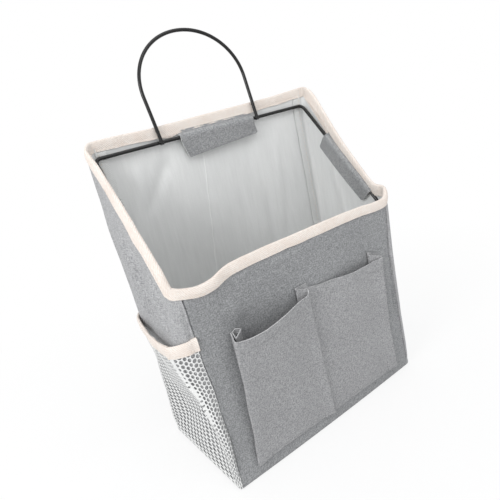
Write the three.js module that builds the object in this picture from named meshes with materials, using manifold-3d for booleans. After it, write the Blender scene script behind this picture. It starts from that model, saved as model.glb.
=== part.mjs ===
// Hanging storage organizer: a cloth bag with a slanted mouth on a wire frame.
// Millimetres, +Z up, front towards -Y. The origin is the middle of the footprint.
import * as THREE from 'three';
import { mergeVertices } from 'three/addons/utils/BufferGeometryUtils.js';
import Module from 'manifold-3d';

const wasm = await Module();
wasm.setup();

// Bag
const WIDTH = 200;
const DEPTH = 92;
const BACK_HEIGHT = 256;
const FRONT_HEIGHT = 160;
const CLOTH = 1.3;
const CORNER = 1.2;
const CLEAR = 0.3;

// Binding tape folded over the mouth, and the seam allowances inside
const TAPE = 0.5;
const BAND = 8.5;
const SEAM = 0.5;
const SEAM_WIDTH = 7;

// Wire frame and hanger arch
const WIRE = 3;
const WIRE_SIDES = 10;
const WIRE_CORNER = 4.5;
const FLAP_ROOM = 0.6;
const FOOT_HALF = 44.4;
const SHOULDER_HALF = 45.5;
const SHOULDER_HEIGHT = 35.6;
const ARCH_HEIGHT = 81;
const LEG_HANDLE = 25.3;
const TOP_HANDLE = 26.1;
const TAIL = 4.5;
const LEAN = THREE.MathUtils.degToRad(13);
const ARCH_STEPS = 40;

// Flaps that close over the wire with hook and loop strips
const FLAP = 0.8;
const FLAP_TURN = 1;
const FLAP_SLANT = 4.5;
const FLAP_HANG = 14.5;
const STRIP = 0.8;
const STRIP_WIDTH = 7.5;
const STRIP_MARGIN = 2;
const BACK_FLAP_LENGTH = 69;
const BACK_FLAP_SHIFT = 6.5;
const FRONT_FLAP_LENGTH = 108;
const SIDE_FLAP_LENGTH = 66;
const SIDE_FLAP_SHIFT = 8;

// Front pockets, one pleated cloth sewn down its middle
const POCKET_CLOTH = 0.8;
const POCKET_HALF = 75;
const POCKET_BOTTOM = 8;
const POCKET_TOP = 119.5;
const PLEAT = 8;
const PLEAT_BEND = 0.65;
const PLEAT_OPEN = 0.8;
const PLEAT_EASE = 9;
const POCKET_BOW = 5.5;
const POCKET_ROWS = 5;
const FACE_STEPS = 10;
const BEND_STEPS = 4;

// Net pockets on the two sides
const NET = 0.8;
const NET_TOP = 118;
const NET_EDGE = 1;
const NET_BAND = 10.5;
const NET_BULGE = 11.5;
const NET_PITCH = 10;
const ROW_SHARE = 0.866;
const NET_STRAND = 1.7;
const NET_STEPS = 14;

// What follows from the sizes above
const halfWidth = WIDTH / 2;
const halfDepth = DEPTH / 2;
const rise = BACK_HEIGHT - FRONT_HEIGHT;
const slope = rise / DEPTH;
const slopeCos = DEPTH / Math.hypot(DEPTH, rise);
const tongue = CLOTH - TAPE - CLEAR;
const rim = CLOTH + CLEAR + TAPE;
const wireInset = rim + CLEAR + WIRE / 2;
const wrap = WIRE / 2 + CLEAR + FLAP / 2;
const hingeU = (FLAP - WIRE) / 2;
const hingeV = wrap + FLAP_ROOM;
const wireDrop = BAND + CLEAR + FLAP / 2 + hingeV;
const X = new THREE.Vector3(1, 0, 0);
const Y = new THREE.Vector3(0, 1, 0);
const Z = new THREE.Vector3(0, 0, 1);

function mouthHeight(y) {
  return FRONT_HEIGHT + (y + halfDepth) * slope;
}

// Looks
function look(color, roughness, metalness = 0) {
  return new THREE.MeshStandardMaterial({ color, roughness, metalness });
}
const greyCloth = () => look(0x8d8f91, 0.95);
const sideCloth = () => look(0x979a9c, 0.95);
const creamTape = () => look(0xe8dccb, 0.9);
const blackWire = () => look(0x17181a, 0.4, 0.6);
const whiteNet = () => look(0xe6e7e6, 0.85);
const paleTape = () => look(0xcfd1d0, 0.9);

function piece(name, geometry, material) {
  const mesh = new THREE.Mesh(geometry, material);
  mesh.name = name;
  return mesh;
}

// Solids for cutting and joining
function solid(geometry) {
  const plain = geometry.clone();
  plain.deleteAttribute('normal');
  plain.deleteAttribute('uv');
  const merged = mergeVertices(plain, 1e-4);
  return new wasm.Manifold(new wasm.Mesh({
    numProp: 3,
    vertProperties: new Float32Array(merged.attributes.position.array),
    triVerts: new Uint32Array(merged.index.array),
  }));
}

function geometryOf(manifold) {
  const mesh = manifold.getMesh();
  const geometry = new THREE.BufferGeometry();
  geometry.setAttribute('position', new THREE.BufferAttribute(mesh.vertProperties, 3));
  geometry.setIndex(new THREE.BufferAttribute(mesh.triVerts, 1));
  geometry.computeVertexNormals();
  return geometry;
}

function shapeOf(points) {
  return new THREE.Shape(points.map(([a, b]) => new THREE.Vector2(a, b)));
}

// A flat outline in (y, z), given a thickness along x
function plateX(points, x0, x1) {
  const plate = new THREE.ExtrudeGeometry(shapeOf(points), { depth: x1 - x0, bevelEnabled: false });
  plate.translate(0, 0, x0);
  plate.applyMatrix4(new THREE.Matrix4().makeBasis(Y, Z, X));
  return plate;
}

// A flat outline in (x, y), given a height along z
function plateZ(shape, z0, z1) {
  const plate = new THREE.ExtrudeGeometry(shape, { depth: z1 - z0, bevelEnabled: false, curveSegments: 3 });
  plate.translate(0, 0, z0);
  return plate;
}

function box(x0, x1, y0, y1, z0, z1) {
  const block = new THREE.BoxGeometry(x1 - x0, y1 - y0, z1 - z0);
  block.translate((x0 + x1) / 2, (y0 + y1) / 2, (z0 + z1) / 2);
  return block;
}

// A rectangle with the sewn corners of the bag rounded
function footprint(inset, radius) {
  const a = halfWidth - inset;
  const b = halfDepth - inset;
  const shape = new THREE.Shape();
  shape.moveTo(-a + radius, -b);
  shape.lineTo(a - radius, -b);
  shape.absarc(a - radius, -b + radius, radius, -Math.PI / 2, 0);
  shape.lineTo(a, b - radius);
  shape.absarc(a - radius, b - radius, radius, 0, Math.PI / 2);
  shape.lineTo(-a + radius, b);
  shape.absarc(-a + radius, b - radius, radius, Math.PI / 2, Math.PI);
  shape.lineTo(-a, -b + radius);
  shape.absarc(-a + radius, -b + radius, radius, Math.PI, 1.5 * Math.PI);
  return shape;
}

// Skin over a row of like rings. The rings run on into each other when closed,
// and otherwise both ends get a lid of the given triangles.
function loft(rings, lid, closed = false) {
  const count = rings[0].length;
  const index = [];
  const last = closed ? rings.length : rings.length - 1;
  for (let i = 0; i < last; i += 1) {
    const here = i * count;
    const next = ((i + 1) % rings.length) * count;
    for (let j = 0; j < count; j += 1) {
      const k = (j + 1) % count;
      index.push(here + j, here + k, next + k, here + j, next + k, next + j);
    }
  }
  if (!closed) {
    const end = (rings.length - 1) * count;
    for (const [a, b, c] of lid) {
      index.push(c, b, a, end + a, end + b, end + c);
    }
  }
  const points = rings.flat();
  let volume = 0;
  for (let i = 0; i < index.length; i += 3) {
    const [a, b, c] = [points[index[i]], points[index[i + 1]], points[index[i + 2]]];
    volume += a.dot(new THREE.Vector3().crossVectors(b, c));
  }
  if (volume < 0) index.reverse();
  const geometry = new THREE.BufferGeometry().setFromPoints(points);
  geometry.setIndex(index);
  geometry.computeVertexNormals();
  return geometry;
}

// Triangles of an outline, all turned the way the outline runs
function lidOf(outline) {
  const way = Math.sign(THREE.ShapeUtils.area(outline));
  return THREE.ShapeUtils.triangulateShape(outline, []).map(([a, b, c]) => {
    const turn = THREE.ShapeUtils.area([outline[a], outline[b], outline[c]]);
    return turn * way > 0 ? [a, b, c] : [a, c, b];
  });
}

// Points of a line set off to its left by a distance, with mitred corners
function setOff(line, distance) {
  return line.map((point, i) => {
    const before = line[Math.max(i - 1, 0)];
    const after = line[Math.min(i + 1, line.length - 1)];
    const along = (i === 0 ? after.clone().sub(point) : point.clone().sub(before)).normalize();
    const onward = (i === line.length - 1 ? along.clone() : after.clone().sub(point).normalize());
    const half = along.clone().add(onward).normalize();
    const mitre = distance / Math.max(half.dot(along), 0.5);
    return new THREE.Vector2(point.x - half.y * mitre, point.y + half.x * mitre);
  });
}

// Outline of a strip of cloth that follows a line
function ribbon(line, thickness) {
  return [...setOff(line, thickness / 2), ...setOff(line, -thickness / 2).reverse()];
}

function ribbonLid(outline) {
  const count = outline.length;
  const way = Math.sign(THREE.ShapeUtils.area(outline));
  const lid = [];
  for (let j = 0; j < count / 2 - 1; j += 1) {
    const far = count - 1 - j;
    lid.push([j, j + 1, far - 1], [j, far - 1, far]);
  }
  const turn = THREE.ShapeUtils.area(lid[0].map((k) => outline[k]));
  return turn * way > 0 ? lid : lid.map(([a, b, c]) => [a, c, b]);
}

const organizer = new THREE.Group();

// Front and back panels: full width, with a thin tongue that goes up into the binding
const bandLine = BAND / slopeCos;
const foldGap = (TAPE + CLEAR) / slopeCos;

function uprightPanel(height, side) {
  const outer = side * halfDepth;
  const inner = outer - side * CLOTH;
  const shoulder = height - BAND - CLEAR;
  const half = new THREE.Shape();
  half.moveTo(-halfWidth, inner);
  half.lineTo(-halfWidth, outer - side * CORNER);
  half.quadraticCurveTo(-halfWidth, outer, -halfWidth + CORNER, outer);
  half.lineTo(halfWidth - CORNER, outer);
  half.quadraticCurveTo(halfWidth, outer, halfWidth, outer - side * CORNER);
  half.lineTo(halfWidth, inner);
  const main = solid(plateZ(half, 0, shoulder));
  const far = outer - side * (TAPE + CLEAR);
  const edge = halfWidth - TAPE - CLEAR;
  const upper = solid(plateX([
    [inner, shoulder - CLOTH],
    [far, shoulder - CLOTH],
    [far, mouthHeight(far) - foldGap],
    [inner, mouthHeight(inner) - foldGap],
  ], -edge, edge));
  return geometryOf(main.add(upper));
}
organizer.add(piece('front_panel', uprightPanel(FRONT_HEIGHT, -1), greyCloth()));
organizer.add(piece('back_panel', uprightPanel(BACK_HEIGHT, 1), greyCloth()));

// Side panels between them, cut along the slanted mouth
const panelEnd = halfDepth - CLOTH - CLEAR;
const bandFront = FRONT_HEIGHT - BAND;

function sidePanel() {
  const drop = bandLine + CLEAR / slopeCos;
  const level = bandFront - CLEAR;
  const knee = Math.max(-halfDepth + (level + drop - FRONT_HEIGHT) / slope, -panelEnd + CLEAR);
  const main = solid(plateX([
    [-panelEnd, 0],
    [panelEnd, 0],
    [panelEnd, mouthHeight(panelEnd) - drop],
    [knee, mouthHeight(knee) - drop],
    [-panelEnd, Math.min(level, mouthHeight(knee) - drop)],
  ], -CLOTH, 0));
  const upper = solid(plateX([
    [-panelEnd, level - CLOTH],
    [panelEnd, mouthHeight(panelEnd) - drop - CLOTH],
    [panelEnd, mouthHeight(panelEnd) - foldGap],
    [-panelEnd, mouthHeight(-panelEnd) - foldGap],
  ], -CLOTH, -CLOTH + tongue));
  return geometryOf(main.add(upper));
}
for (const [name, side] of [['left_side_panel', -1], ['right_side_panel', 1]]) {
  const panel = piece(name, sidePanel(), sideCloth());
  panel.position.x = side * halfWidth;
  if (side < 0) panel.position.x += CLOTH;
  if (side < 0) panel.geometry = mirrored(panel.geometry);
  organizer.add(panel);
}

// The same shape seen in a mirror across x = -CLOTH / 2
function mirrored(geometry) {
  const copy = geometry.clone();
  const place = copy.attributes.position;
  for (let i = 0; i < place.count; i += 1) place.setX(i, -CLOTH - place.getX(i));
  copy.setIndex(Array.from(copy.index.array).reverse());
  copy.computeVertexNormals();
  return copy;
}

// Bottom panel inside the four walls
const floorX = halfWidth - CLOTH - CLEAR;
organizer.add(piece('bottom_panel', box(-floorX, floorX, -panelEnd, panelEnd, 0, CLOTH), greyCloth()));

// Binding: one tape folded over the edge of the mouth, all the way round
function rimBinding() {
  const lower = BACK_HEIGHT - BAND;
  const end = halfDepth - rim;
  const knee = Math.max(-halfDepth + (bandFront + bandLine - FRONT_HEIGHT) / slope, -end);
  const reach = solid(plateX([
    [-halfDepth, bandFront],
    [knee, bandFront],
    [end, mouthHeight(end) - bandLine],
    [end, lower],
    [halfDepth, lower],
    [halfDepth, BACK_HEIGHT],
    [-halfDepth, FRONT_HEIGHT],
  ], -halfWidth, halfWidth));
  const tall = BACK_HEIGHT + BAND;
  const loop = solid(plateZ(footprint(0, CORNER), 0, tall));
  const mouth = solid(box(-halfWidth + rim, halfWidth - rim, -end, end, -1, tall + 1));
  const slotOuter = solid(box(
    -halfWidth + TAPE, halfWidth - TAPE, -halfDepth + TAPE, halfDepth - TAPE, -1, tall + 1));
  const in2 = rim - TAPE;
  const slotInner = solid(box(
    -halfWidth + in2, halfWidth - in2, -halfDepth + in2, halfDepth - in2, -2, tall + 2));
  const fold = TAPE / slopeCos;
  const underFold = solid(plateX([
    [-halfDepth, -1],
    [halfDepth, -1],
    [halfDepth, BACK_HEIGHT - fold],
    [-halfDepth, FRONT_HEIGHT - fold],
  ], -halfWidth, halfWidth));
  const slot = slotOuter.subtract(slotInner).intersect(underFold);
  return geometryOf(loop.subtract(mouth).intersect(reach).subtract(slot));
}
organizer.add(piece('rim_binding', rimBinding(), creamTape()));

// Seam allowances, taped and folded flat on the front and back walls
const seamStart = halfWidth - rim - CLEAR;
for (const [name, sideX, sideY, top] of [
  ['corner_seam_front_left', -1, -1, FRONT_HEIGHT],
  ['corner_seam_front_right', 1, -1, FRONT_HEIGHT],
  ['corner_seam_back_left', -1, 1, BACK_HEIGHT],
  ['corner_seam_back_right', 1, 1, BACK_HEIGHT],
]) {
  const low = CLOTH + CLEAR;
  const height = top - BAND - CLEAR - low;
  const seam = piece(name, new THREE.BoxGeometry(SEAM_WIDTH, SEAM, height), paleTape());
  seam.position.set(
    sideX * (seamStart - SEAM_WIDTH / 2),
    sideY * (halfDepth - CLOTH - CLEAR - SEAM / 2),
    low + height / 2,
  );
  organizer.add(seam);
}

// Seam allowances round the bottom, folded flat on it
const seamDepth = halfDepth - CLOTH - CLEAR - SEAM - CLEAR;
for (const [name, side] of [['bottom_seam_front', -1], ['bottom_seam_back', 1]]) {
  const seam = piece(name, new THREE.BoxGeometry(2 * seamStart, SEAM_WIDTH, SEAM), paleTape());
  seam.position.set(0, side * (seamDepth - SEAM_WIDTH / 2), CLOTH + CLEAR + SEAM / 2);
  organizer.add(seam);
}
for (const [name, side] of [['bottom_seam_left', -1], ['bottom_seam_right', 1]]) {
  const length = 2 * (seamDepth - SEAM_WIDTH - CLEAR);
  const seam = piece(name, new THREE.BoxGeometry(SEAM_WIDTH, length, SEAM), paleTape());
  seam.position.set(side * (seamStart - SEAM_WIDTH / 2), 0, CLOTH + CLEAR + SEAM / 2);
  organizer.add(seam);
}

// Wire frame: one closed rectangle of wire just inside the walls, below the binding
const barY = halfDepth - wireInset;
const frontBarZ = FRONT_HEIGHT - wireDrop;
const backBarZ = BACK_HEIGHT - wireDrop;
const tilt = Math.atan2(backBarZ - frontBarZ, 2 * barY);
const frameHalfX = halfWidth - wireInset;
const frameHalfY = Math.hypot(backBarZ - frontBarZ, 2 * barY) / 2;

function circlePoints(radius, sides) {
  return Array.from({ length: sides }, (_, i) => {
    const angle = (2 * Math.PI * (i + 0.5)) / sides;
    return new THREE.Vector2(radius * Math.cos(angle), radius * Math.sin(angle));
  });
}

function frameWire() {
  const section = circlePoints(WIRE / 2, WIRE_SIDES);
  const rings = [];
  const corners = [[1, 1, 0], [-1, 1, 1], [-1, -1, 2], [1, -1, 3]];
  for (const [sx, sy, quarter] of corners) {
    for (let i = 0; i <= BEND_STEPS; i += 1) {
      const angle = (quarter + i / BEND_STEPS) * (Math.PI / 2);
      const out = new THREE.Vector3(Math.cos(angle), Math.sin(angle), 0);
      const centre = new THREE.Vector3(sx * (frameHalfX - WIRE_CORNER), sy * (frameHalfY - WIRE_CORNER), 0);
      rings.push(section.map((p) => centre.clone()
        .addScaledVector(out, WIRE_CORNER + p.x)
        .addScaledVector(Z, p.y)));
    }
  }
  return loft(rings, [], true);
}
const frame = piece('frame_wire', frameWire(), blackWire());
frame.position.set(0, 0, (frontBarZ + backBarZ) / 2);
frame.rotation.x = tilt;
organizer.add(frame);

// Hanger arch: its feet cross the back bar inside the bag and are welded there
function hangerArch() {
  const path = new THREE.CurvePath();
  const foot = new THREE.Vector3(-FOOT_HALF, 0, 0);
  const shoulder = new THREE.Vector3(-SHOULDER_HALF, 0, SHOULDER_HEIGHT);
  const up = shoulder.clone().sub(foot).normalize();
  const end = foot.clone().addScaledVector(up, -TAIL);
  const rising = shoulder.clone().addScaledVector(up, LEG_HANDLE);
  const level = new THREE.Vector3(-TOP_HANDLE, 0, ARCH_HEIGHT);
  const top = new THREE.Vector3(0, 0, ARCH_HEIGHT);
  const across = (p) => new THREE.Vector3(-p.x, p.y, p.z);
  path.add(new THREE.LineCurve3(end, shoulder));
  path.add(new THREE.CubicBezierCurve3(shoulder, rising, level, top));
  path.add(new THREE.CubicBezierCurve3(top, across(level), across(rising), across(shoulder)));
  path.add(new THREE.LineCurve3(across(shoulder), across(end)));
  const section = new THREE.Shape(circlePoints(WIRE / 2, WIRE_SIDES));
  return new THREE.ExtrudeGeometry(section, { steps: ARCH_STEPS, extrudePath: path, bevelEnabled: false });
}
const arch = piece('hanger_arch', hangerArch(), blackWire());
arch.position.set(0, barY - WIRE - CLEAR, backBarZ);
arch.rotation.x = -LEAN;
organizer.add(arch);

// Flap section about the wire's centre: u goes into the bag and v up from the bar.
// It leaves the hinge line, passes over the wire and comes back to the wall below it.
const wallU = CLOTH - wireInset;
const loopU = wallU + CLEAR + STRIP / 2;
const hookU = loopU + STRIP + CLEAR;
const flapU = hookU + STRIP / 2 + CLEAR + FLAP / 2;
const stripV = -FLAP_HANG + STRIP_MARGIN / 2 + STRIP_WIDTH / 2;

function flapLine() {
  const reach = Math.hypot(hingeU, hingeV);
  const start = Math.atan2(hingeV, hingeU) - Math.acos(wrap / reach);
  const line = [new THREE.Vector2(hingeU, hingeV)];
  for (let i = 0; i <= BEND_STEPS; i += 1) {
    const angle = start * (1 - i / BEND_STEPS);
    line.push(new THREE.Vector2(wrap * Math.cos(angle), wrap * Math.sin(angle)));
  }
  line.push(new THREE.Vector2(wrap, -FLAP_TURN));
  line.push(new THREE.Vector2(flapU, -FLAP_TURN - FLAP_SLANT));
  line.push(new THREE.Vector2(flapU, -FLAP_HANG));
  return line;
}

function flapStation(name, length, centre, inward, up) {
  const station = new THREE.Group();
  const along = new THREE.Vector3().crossVectors(inward, up);
  station.quaternion.setFromRotationMatrix(new THREE.Matrix4().makeBasis(inward, up, along));
  station.position.copy(centre);
  const section = new THREE.Shape(ribbon(flapLine(), FLAP));
  const cloth = new THREE.ExtrudeGeometry(section, { depth: length, bevelEnabled: false });
  cloth.translate(0, 0, -length / 2);
  station.add(piece(`${name}_flap`, cloth, greyCloth()));
  const stripLength = length - 2 * STRIP_MARGIN;
  for (const [kind, u] of [['hook', hookU], ['loop', loopU]]) {
    const strip = piece(`${name}_${kind}_strip`, new THREE.BoxGeometry(STRIP, STRIP_WIDTH, stripLength), paleTape());
    strip.position.set(u, stripV, 0);
    station.add(strip);
  }
  organizer.add(station);
}
const barUp = new THREE.Vector3(0, -Math.sin(tilt), Math.cos(tilt));
const sideBar = new THREE.Vector3(frameHalfX, 0, (frontBarZ + backBarZ) / 2)
  .add(new THREE.Vector3(0, -Math.cos(tilt), -Math.sin(tilt)).multiplyScalar(SIDE_FLAP_SHIFT));
flapStation('back', BACK_FLAP_LENGTH,
  new THREE.Vector3(BACK_FLAP_SHIFT, barY, backBarZ), Y.clone().negate(), Z);
flapStation('front', FRONT_FLAP_LENGTH, new THREE.Vector3(0, -barY, frontBarZ), Y, Z);
flapStation('right', SIDE_FLAP_LENGTH, sideBar, X.clone().negate(), barUp);
flapStation('left', SIDE_FLAP_LENGTH, new THREE.Vector3(-sideBar.x, sideBar.y, sideBar.z), X, barUp);

// Front pockets: the cloth is folded in a pleat at each end of each pocket,
// sewn to the panel at its ends and along the middle, and bows out towards the top
const flatW = CLEAR + POCKET_CLOTH / 2;

function bend(line, x, w, radius, side, way) {
  // Half a turn about (x, w): side +1 turns to the right of x, way +1 goes outward
  for (let i = 0; i <= BEND_STEPS; i += 1) {
    const angle = -Math.PI / 2 + (Math.PI * i) / BEND_STEPS;
    line.push(new THREE.Vector2(x + side * radius * Math.cos(angle), w + way * radius * Math.sin(angle)));
  }
}

function smooth(value) {
  const t = Math.min(Math.max(value, 0), 1);
  return t * t * (3 - 2 * t);
}

function pocketLine(height) {
  const radius = PLEAT_BEND + PLEAT_OPEN * height;
  const high = flatW + 4 * radius;
  const tuck = radius + POCKET_CLOTH / 2;
  const outerX = -POCKET_HALF + tuck;
  const innerX = -CLEAR - tuck;
  const half = [new THREE.Vector2(-POCKET_HALF, flatW)];
  bend(half, -POCKET_HALF + PLEAT, flatW + radius, radius, 1, 1);
  bend(half, outerX, flatW + 3 * radius, radius, -1, 1);
  const over = PLEAT + tuck;
  for (let i = 1; i < FACE_STEPS; i += 1) {
    const share = (1 - Math.cos((Math.PI * i) / FACE_STEPS)) / 2;
    const x = outerX + (innerX - outerX) * share;
    const fromEnd = Math.min(x + POCKET_HALF, -x) - over;
    const stack = 1 - (1 - height) * smooth(fromEnd / PLEAT_EASE);
    const bow = POCKET_BOW * height * Math.sin(Math.PI * share);
    half.push(new THREE.Vector2(x, flatW + 4 * radius * stack + bow));
  }
  bend(half, innerX, flatW + 3 * radius, radius, 1, -1);
  bend(half, -PLEAT, flatW + radius, radius, -1, -1);
  const other = half.map((p) => new THREE.Vector2(-p.x, p.y)).reverse();
  return { line: [...half, new THREE.Vector2(0, flatW), ...other], high };
}

function frontPocket() {
  const rings = [];
  let lid = [];
  for (let i = 0; i < POCKET_ROWS; i += 1) {
    const height = i / (POCKET_ROWS - 1);
    const outline = ribbon(pocketLine(height).line, POCKET_CLOTH);
    if (i === 0) lid = ribbonLid(outline);
    const z = POCKET_BOTTOM + (POCKET_TOP - POCKET_BOTTOM) * height;
    rings.push(outline.map((p) => new THREE.Vector3(p.x, -p.y, z)));
  }
  return loft(rings, lid);
}
const pocket = piece('front_pocket', frontPocket(), greyCloth());
pocket.position.y = -halfDepth;
organizer.add(pocket);

// Net pockets: a net sewn in at the two corners and the bottom, slack at its top
const netLow = CLEAR + NET / 2;
const netHigh = CLEAR + TAPE + CLEAR + NET / 2;
const netHalf = halfDepth - NET_EDGE;
const netNeck = NET_TOP - NET_BAND;

function netStand(y, z) {
  const level = Math.min(z / netNeck, 1);
  const across = Math.cos((Math.PI * y) / (2 * netHalf));
  const belly = Math.sin((Math.PI / 2) * Math.min(level * 1.25, 1));
  return netLow + (netHigh - netLow) * level + NET_BULGE * across * belly;
}

// Corners and triangles of the flat net in (y, z). Rows of six-sided gaps stand
// half a gap apart, with a plain edge below, above and at the ends of every other row.
function netPlan() {
  const points = [];
  const faces = [];
  const known = new Map();
  const at = (y, z) => {
    const key = `${y.toFixed(3)} ${z.toFixed(3)}`;
    if (!known.has(key)) {
      known.set(key, points.length);
      points.push([y, z]);
    }
    return known.get(key);
  };
  const columns = Math.round((2 * netHalf) / NET_PITCH);
  const pitch = (2 * netHalf) / columns;
  const low = NET_EDGE + NET_STRAND;
  const high = netNeck - NET_STRAND;
  const rows = Math.round((high - low) / (NET_PITCH * ROW_SHARE));
  const step = (high - low) / rows;
  const plain = (y0, y1, z0, z1) => {
    const [a, b, c, d] = [at(y0, z0), at(y1, z0), at(y1, z1), at(y0, z1)];
    faces.push([a, b, c], [a, c, d]);
  };
  const border = (z0, z1) => {
    for (let i = 0; i < 2 * columns; i += 1) {
      plain(-netHalf + (i * pitch) / 2, -netHalf + ((i + 1) * pitch) / 2, z0, z1);
    }
  };
  border(NET_EDGE, low);
  for (let row = 0; row < rows; row += 1) {
    const z0 = low + row * step;
    const z1 = z0 + step;
    const odd = row % 2;
    if (odd) {
      plain(-netHalf, -netHalf + pitch / 2, z0, z1);
      plain(netHalf - pitch / 2, netHalf, z0, z1);
    }
    for (let i = 0; i < columns - odd; i += 1) {
      const y = -netHalf + (i + (1 + odd) / 2) * pitch;
      const z = (z0 + z1) / 2;
      const half = pitch / 2;
      const outer = [
        at(y + half, z0), at(y + half, z1), at(y, z1), at(y - half, z1), at(y - half, z0), at(y, z0),
      ];
      const reach = (pitch - NET_STRAND) / 2;
      const tall = reach / Math.cos(Math.PI / 6);
      const inner = [[1, -0.5], [1, 0.5], [0, 1], [-1, 0.5], [-1, -0.5], [0, -1]]
        .map(([a, b]) => at(y + a * reach, z + b * tall));
      for (let k = 0; k < 6; k += 1) {
        const next = (k + 1) % 6;
        faces.push([inner[k], outer[k], outer[next]], [inner[k], outer[next], inner[next]]);
      }
    }
  }
  border(high, netNeck);
  border(netNeck, NET_TOP - TAPE - CLEAR);
  return { points, faces };
}

// The net: its plan stood off the wall by the belly, with a thickness and closed edges
function netCloth() {
  const { points, faces } = netPlan();
  const count = points.length;
  const vertices = [-NET / 2, NET / 2].flatMap((offset) => points.map(([y, z]) => (
    new THREE.Vector3(y, z, netStand(y, z) + offset))));
  const index = [];
  const sides = new Map();
  for (const [a, b, c] of faces) {
    index.push(c, b, a, a + count, b + count, c + count);
    for (const [p, q] of [[a, b], [b, c], [c, a]]) sides.set(`${p} ${q}`, [p, q]);
  }
  for (const [p, q] of sides.values()) {
    if (!sides.has(`${q} ${p}`)) index.push(p, q, q + count, p, q + count, p + count);
  }
  const geometry = new THREE.BufferGeometry().setFromPoints(vertices);
  geometry.setIndex(index);
  geometry.computeVertexNormals();
  return geometry;
}

function netBinding() {
  const half = NET / 2 + CLEAR;
  const outer = half + TAPE;
  const low = netNeck;
  const fold = NET_TOP - TAPE;
  const outline = [
    [-outer, low], [-half, low], [-half, fold], [half, fold],
    [half, low], [outer, low], [outer, NET_TOP], [-outer, NET_TOP],
  ].map(([a, b]) => new THREE.Vector2(a, b));
  const rings = [];
  for (let i = 0; i <= NET_STEPS; i += 1) {
    const y = -netHalf + (2 * netHalf * i) / NET_STEPS;
    const stand = netStand(y, NET_TOP);
    rings.push(outline.map((p) => new THREE.Vector3(y, p.y, stand + p.x)));
  }
  return loft(rings, lidOf(outline));
}

for (const [name, side] of [['left', -1], ['right', 1]]) {
  const holder = new THREE.Group();
  const outward = X.clone().multiplyScalar(side);
  const along = Y.clone().multiplyScalar(side);
  holder.quaternion.setFromRotationMatrix(new THREE.Matrix4().makeBasis(along, Z, outward));
  holder.position.x = side * halfWidth;
  holder.add(piece(`${name}_net_pocket`, netCloth(), whiteNet()));
  holder.add(piece(`${name}_net_binding`, netBinding(), creamTape()));
  organizer.add(holder);
}

// The origin is centred under the whole organizer
const extent = new THREE.Box3().setFromObject(organizer, true);
const middle = extent.getCenter(new THREE.Vector3());
const standing = new THREE.Group();
organizer.position.set(-middle.x, -middle.y, -extent.min.z);
standing.add(organizer);

export default standing;
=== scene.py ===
# Hanging storage organizer: a cloth bag with a slanted mouth, hung from a wire frame.
# Pieces are worked out in millimetres and made in metres. +Z up, front towards -Y.
import math

import bpy
import numpy as np
from mathutils import Matrix, Vector


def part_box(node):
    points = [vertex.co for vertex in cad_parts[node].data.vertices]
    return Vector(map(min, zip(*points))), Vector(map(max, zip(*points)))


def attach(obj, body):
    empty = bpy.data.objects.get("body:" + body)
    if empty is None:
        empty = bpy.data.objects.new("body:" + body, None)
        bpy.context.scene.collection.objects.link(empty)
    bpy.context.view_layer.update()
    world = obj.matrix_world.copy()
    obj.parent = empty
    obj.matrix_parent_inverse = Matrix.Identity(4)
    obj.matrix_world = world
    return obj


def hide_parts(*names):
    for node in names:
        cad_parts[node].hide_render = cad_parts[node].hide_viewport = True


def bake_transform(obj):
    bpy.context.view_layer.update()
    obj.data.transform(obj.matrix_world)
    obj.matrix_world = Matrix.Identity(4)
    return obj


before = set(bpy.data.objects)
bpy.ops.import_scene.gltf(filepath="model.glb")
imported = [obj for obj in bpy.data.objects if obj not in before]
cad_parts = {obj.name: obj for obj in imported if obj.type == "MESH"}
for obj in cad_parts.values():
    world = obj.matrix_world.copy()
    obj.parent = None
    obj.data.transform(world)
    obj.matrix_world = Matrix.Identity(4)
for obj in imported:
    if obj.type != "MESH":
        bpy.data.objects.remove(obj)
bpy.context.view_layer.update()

# Camera at the photograph's place, in millimetres and degrees
CAMERA_PLACE = (-163.62, -289.91, 256.11)
CAMERA_TURN = -27.45
CAMERA_DROP = 18.068
CAMERA_ROLL = -13.822
CAMERA_LENS = 31.332

# Cloth of the bag
CLOTH = 1.3
CORNER_RUN = 9.0
FLOOR_CURVE = 1.5
POCKET_CLOTH = 0.75
POCKET_TOP = 118.6
POCKET_BOTTOM = 10.5

# How far the pocket stands off the wall where it doesn't follow its mouth's shape, and the levels of its
# stitches, from 0 at its foot to 1 at its top
POCKET_REST = 0.85
HEM_LEVEL = 0.922
FOOT_LEVEL = 0.02

# Tape folded over the edge of the mouth
TAPE = 0.55
TAPE_BAND = 6.0
TAPE_INSIDE = 7.0

# Wire
WIRE = 2.8
WIRE_CORNER = 4.5
ARCH_LEAN = math.radians(13)
ARCH_FOOT = 44.4

# The arch from the front: where its left leg ends, the two handles of its bow (a length along the leg, and a
# point at the top's height), and how far its feet run past the bar
ARCH_SHOULDER = (-45.5, 35.6)
ARCH_RUN_ON = 25.3
ARCH_BOW = (-26.1, 81.0)
ARCH_PAST = 1.8

# Gap between the arch and the bar, and a weld's size and how far in from the bar it sits
ARCH_GAP = 0.3
WELD = (4.6, 4.4, 3.6)
WELD_IN = 1.65

# Net
NET_PITCH = 3.55
NET_HOLE = 1.46
NET_THREAD = 0.17

MM = 0.001

# Random numbers along each lattice of unevenness
LATTICE = 97


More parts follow.
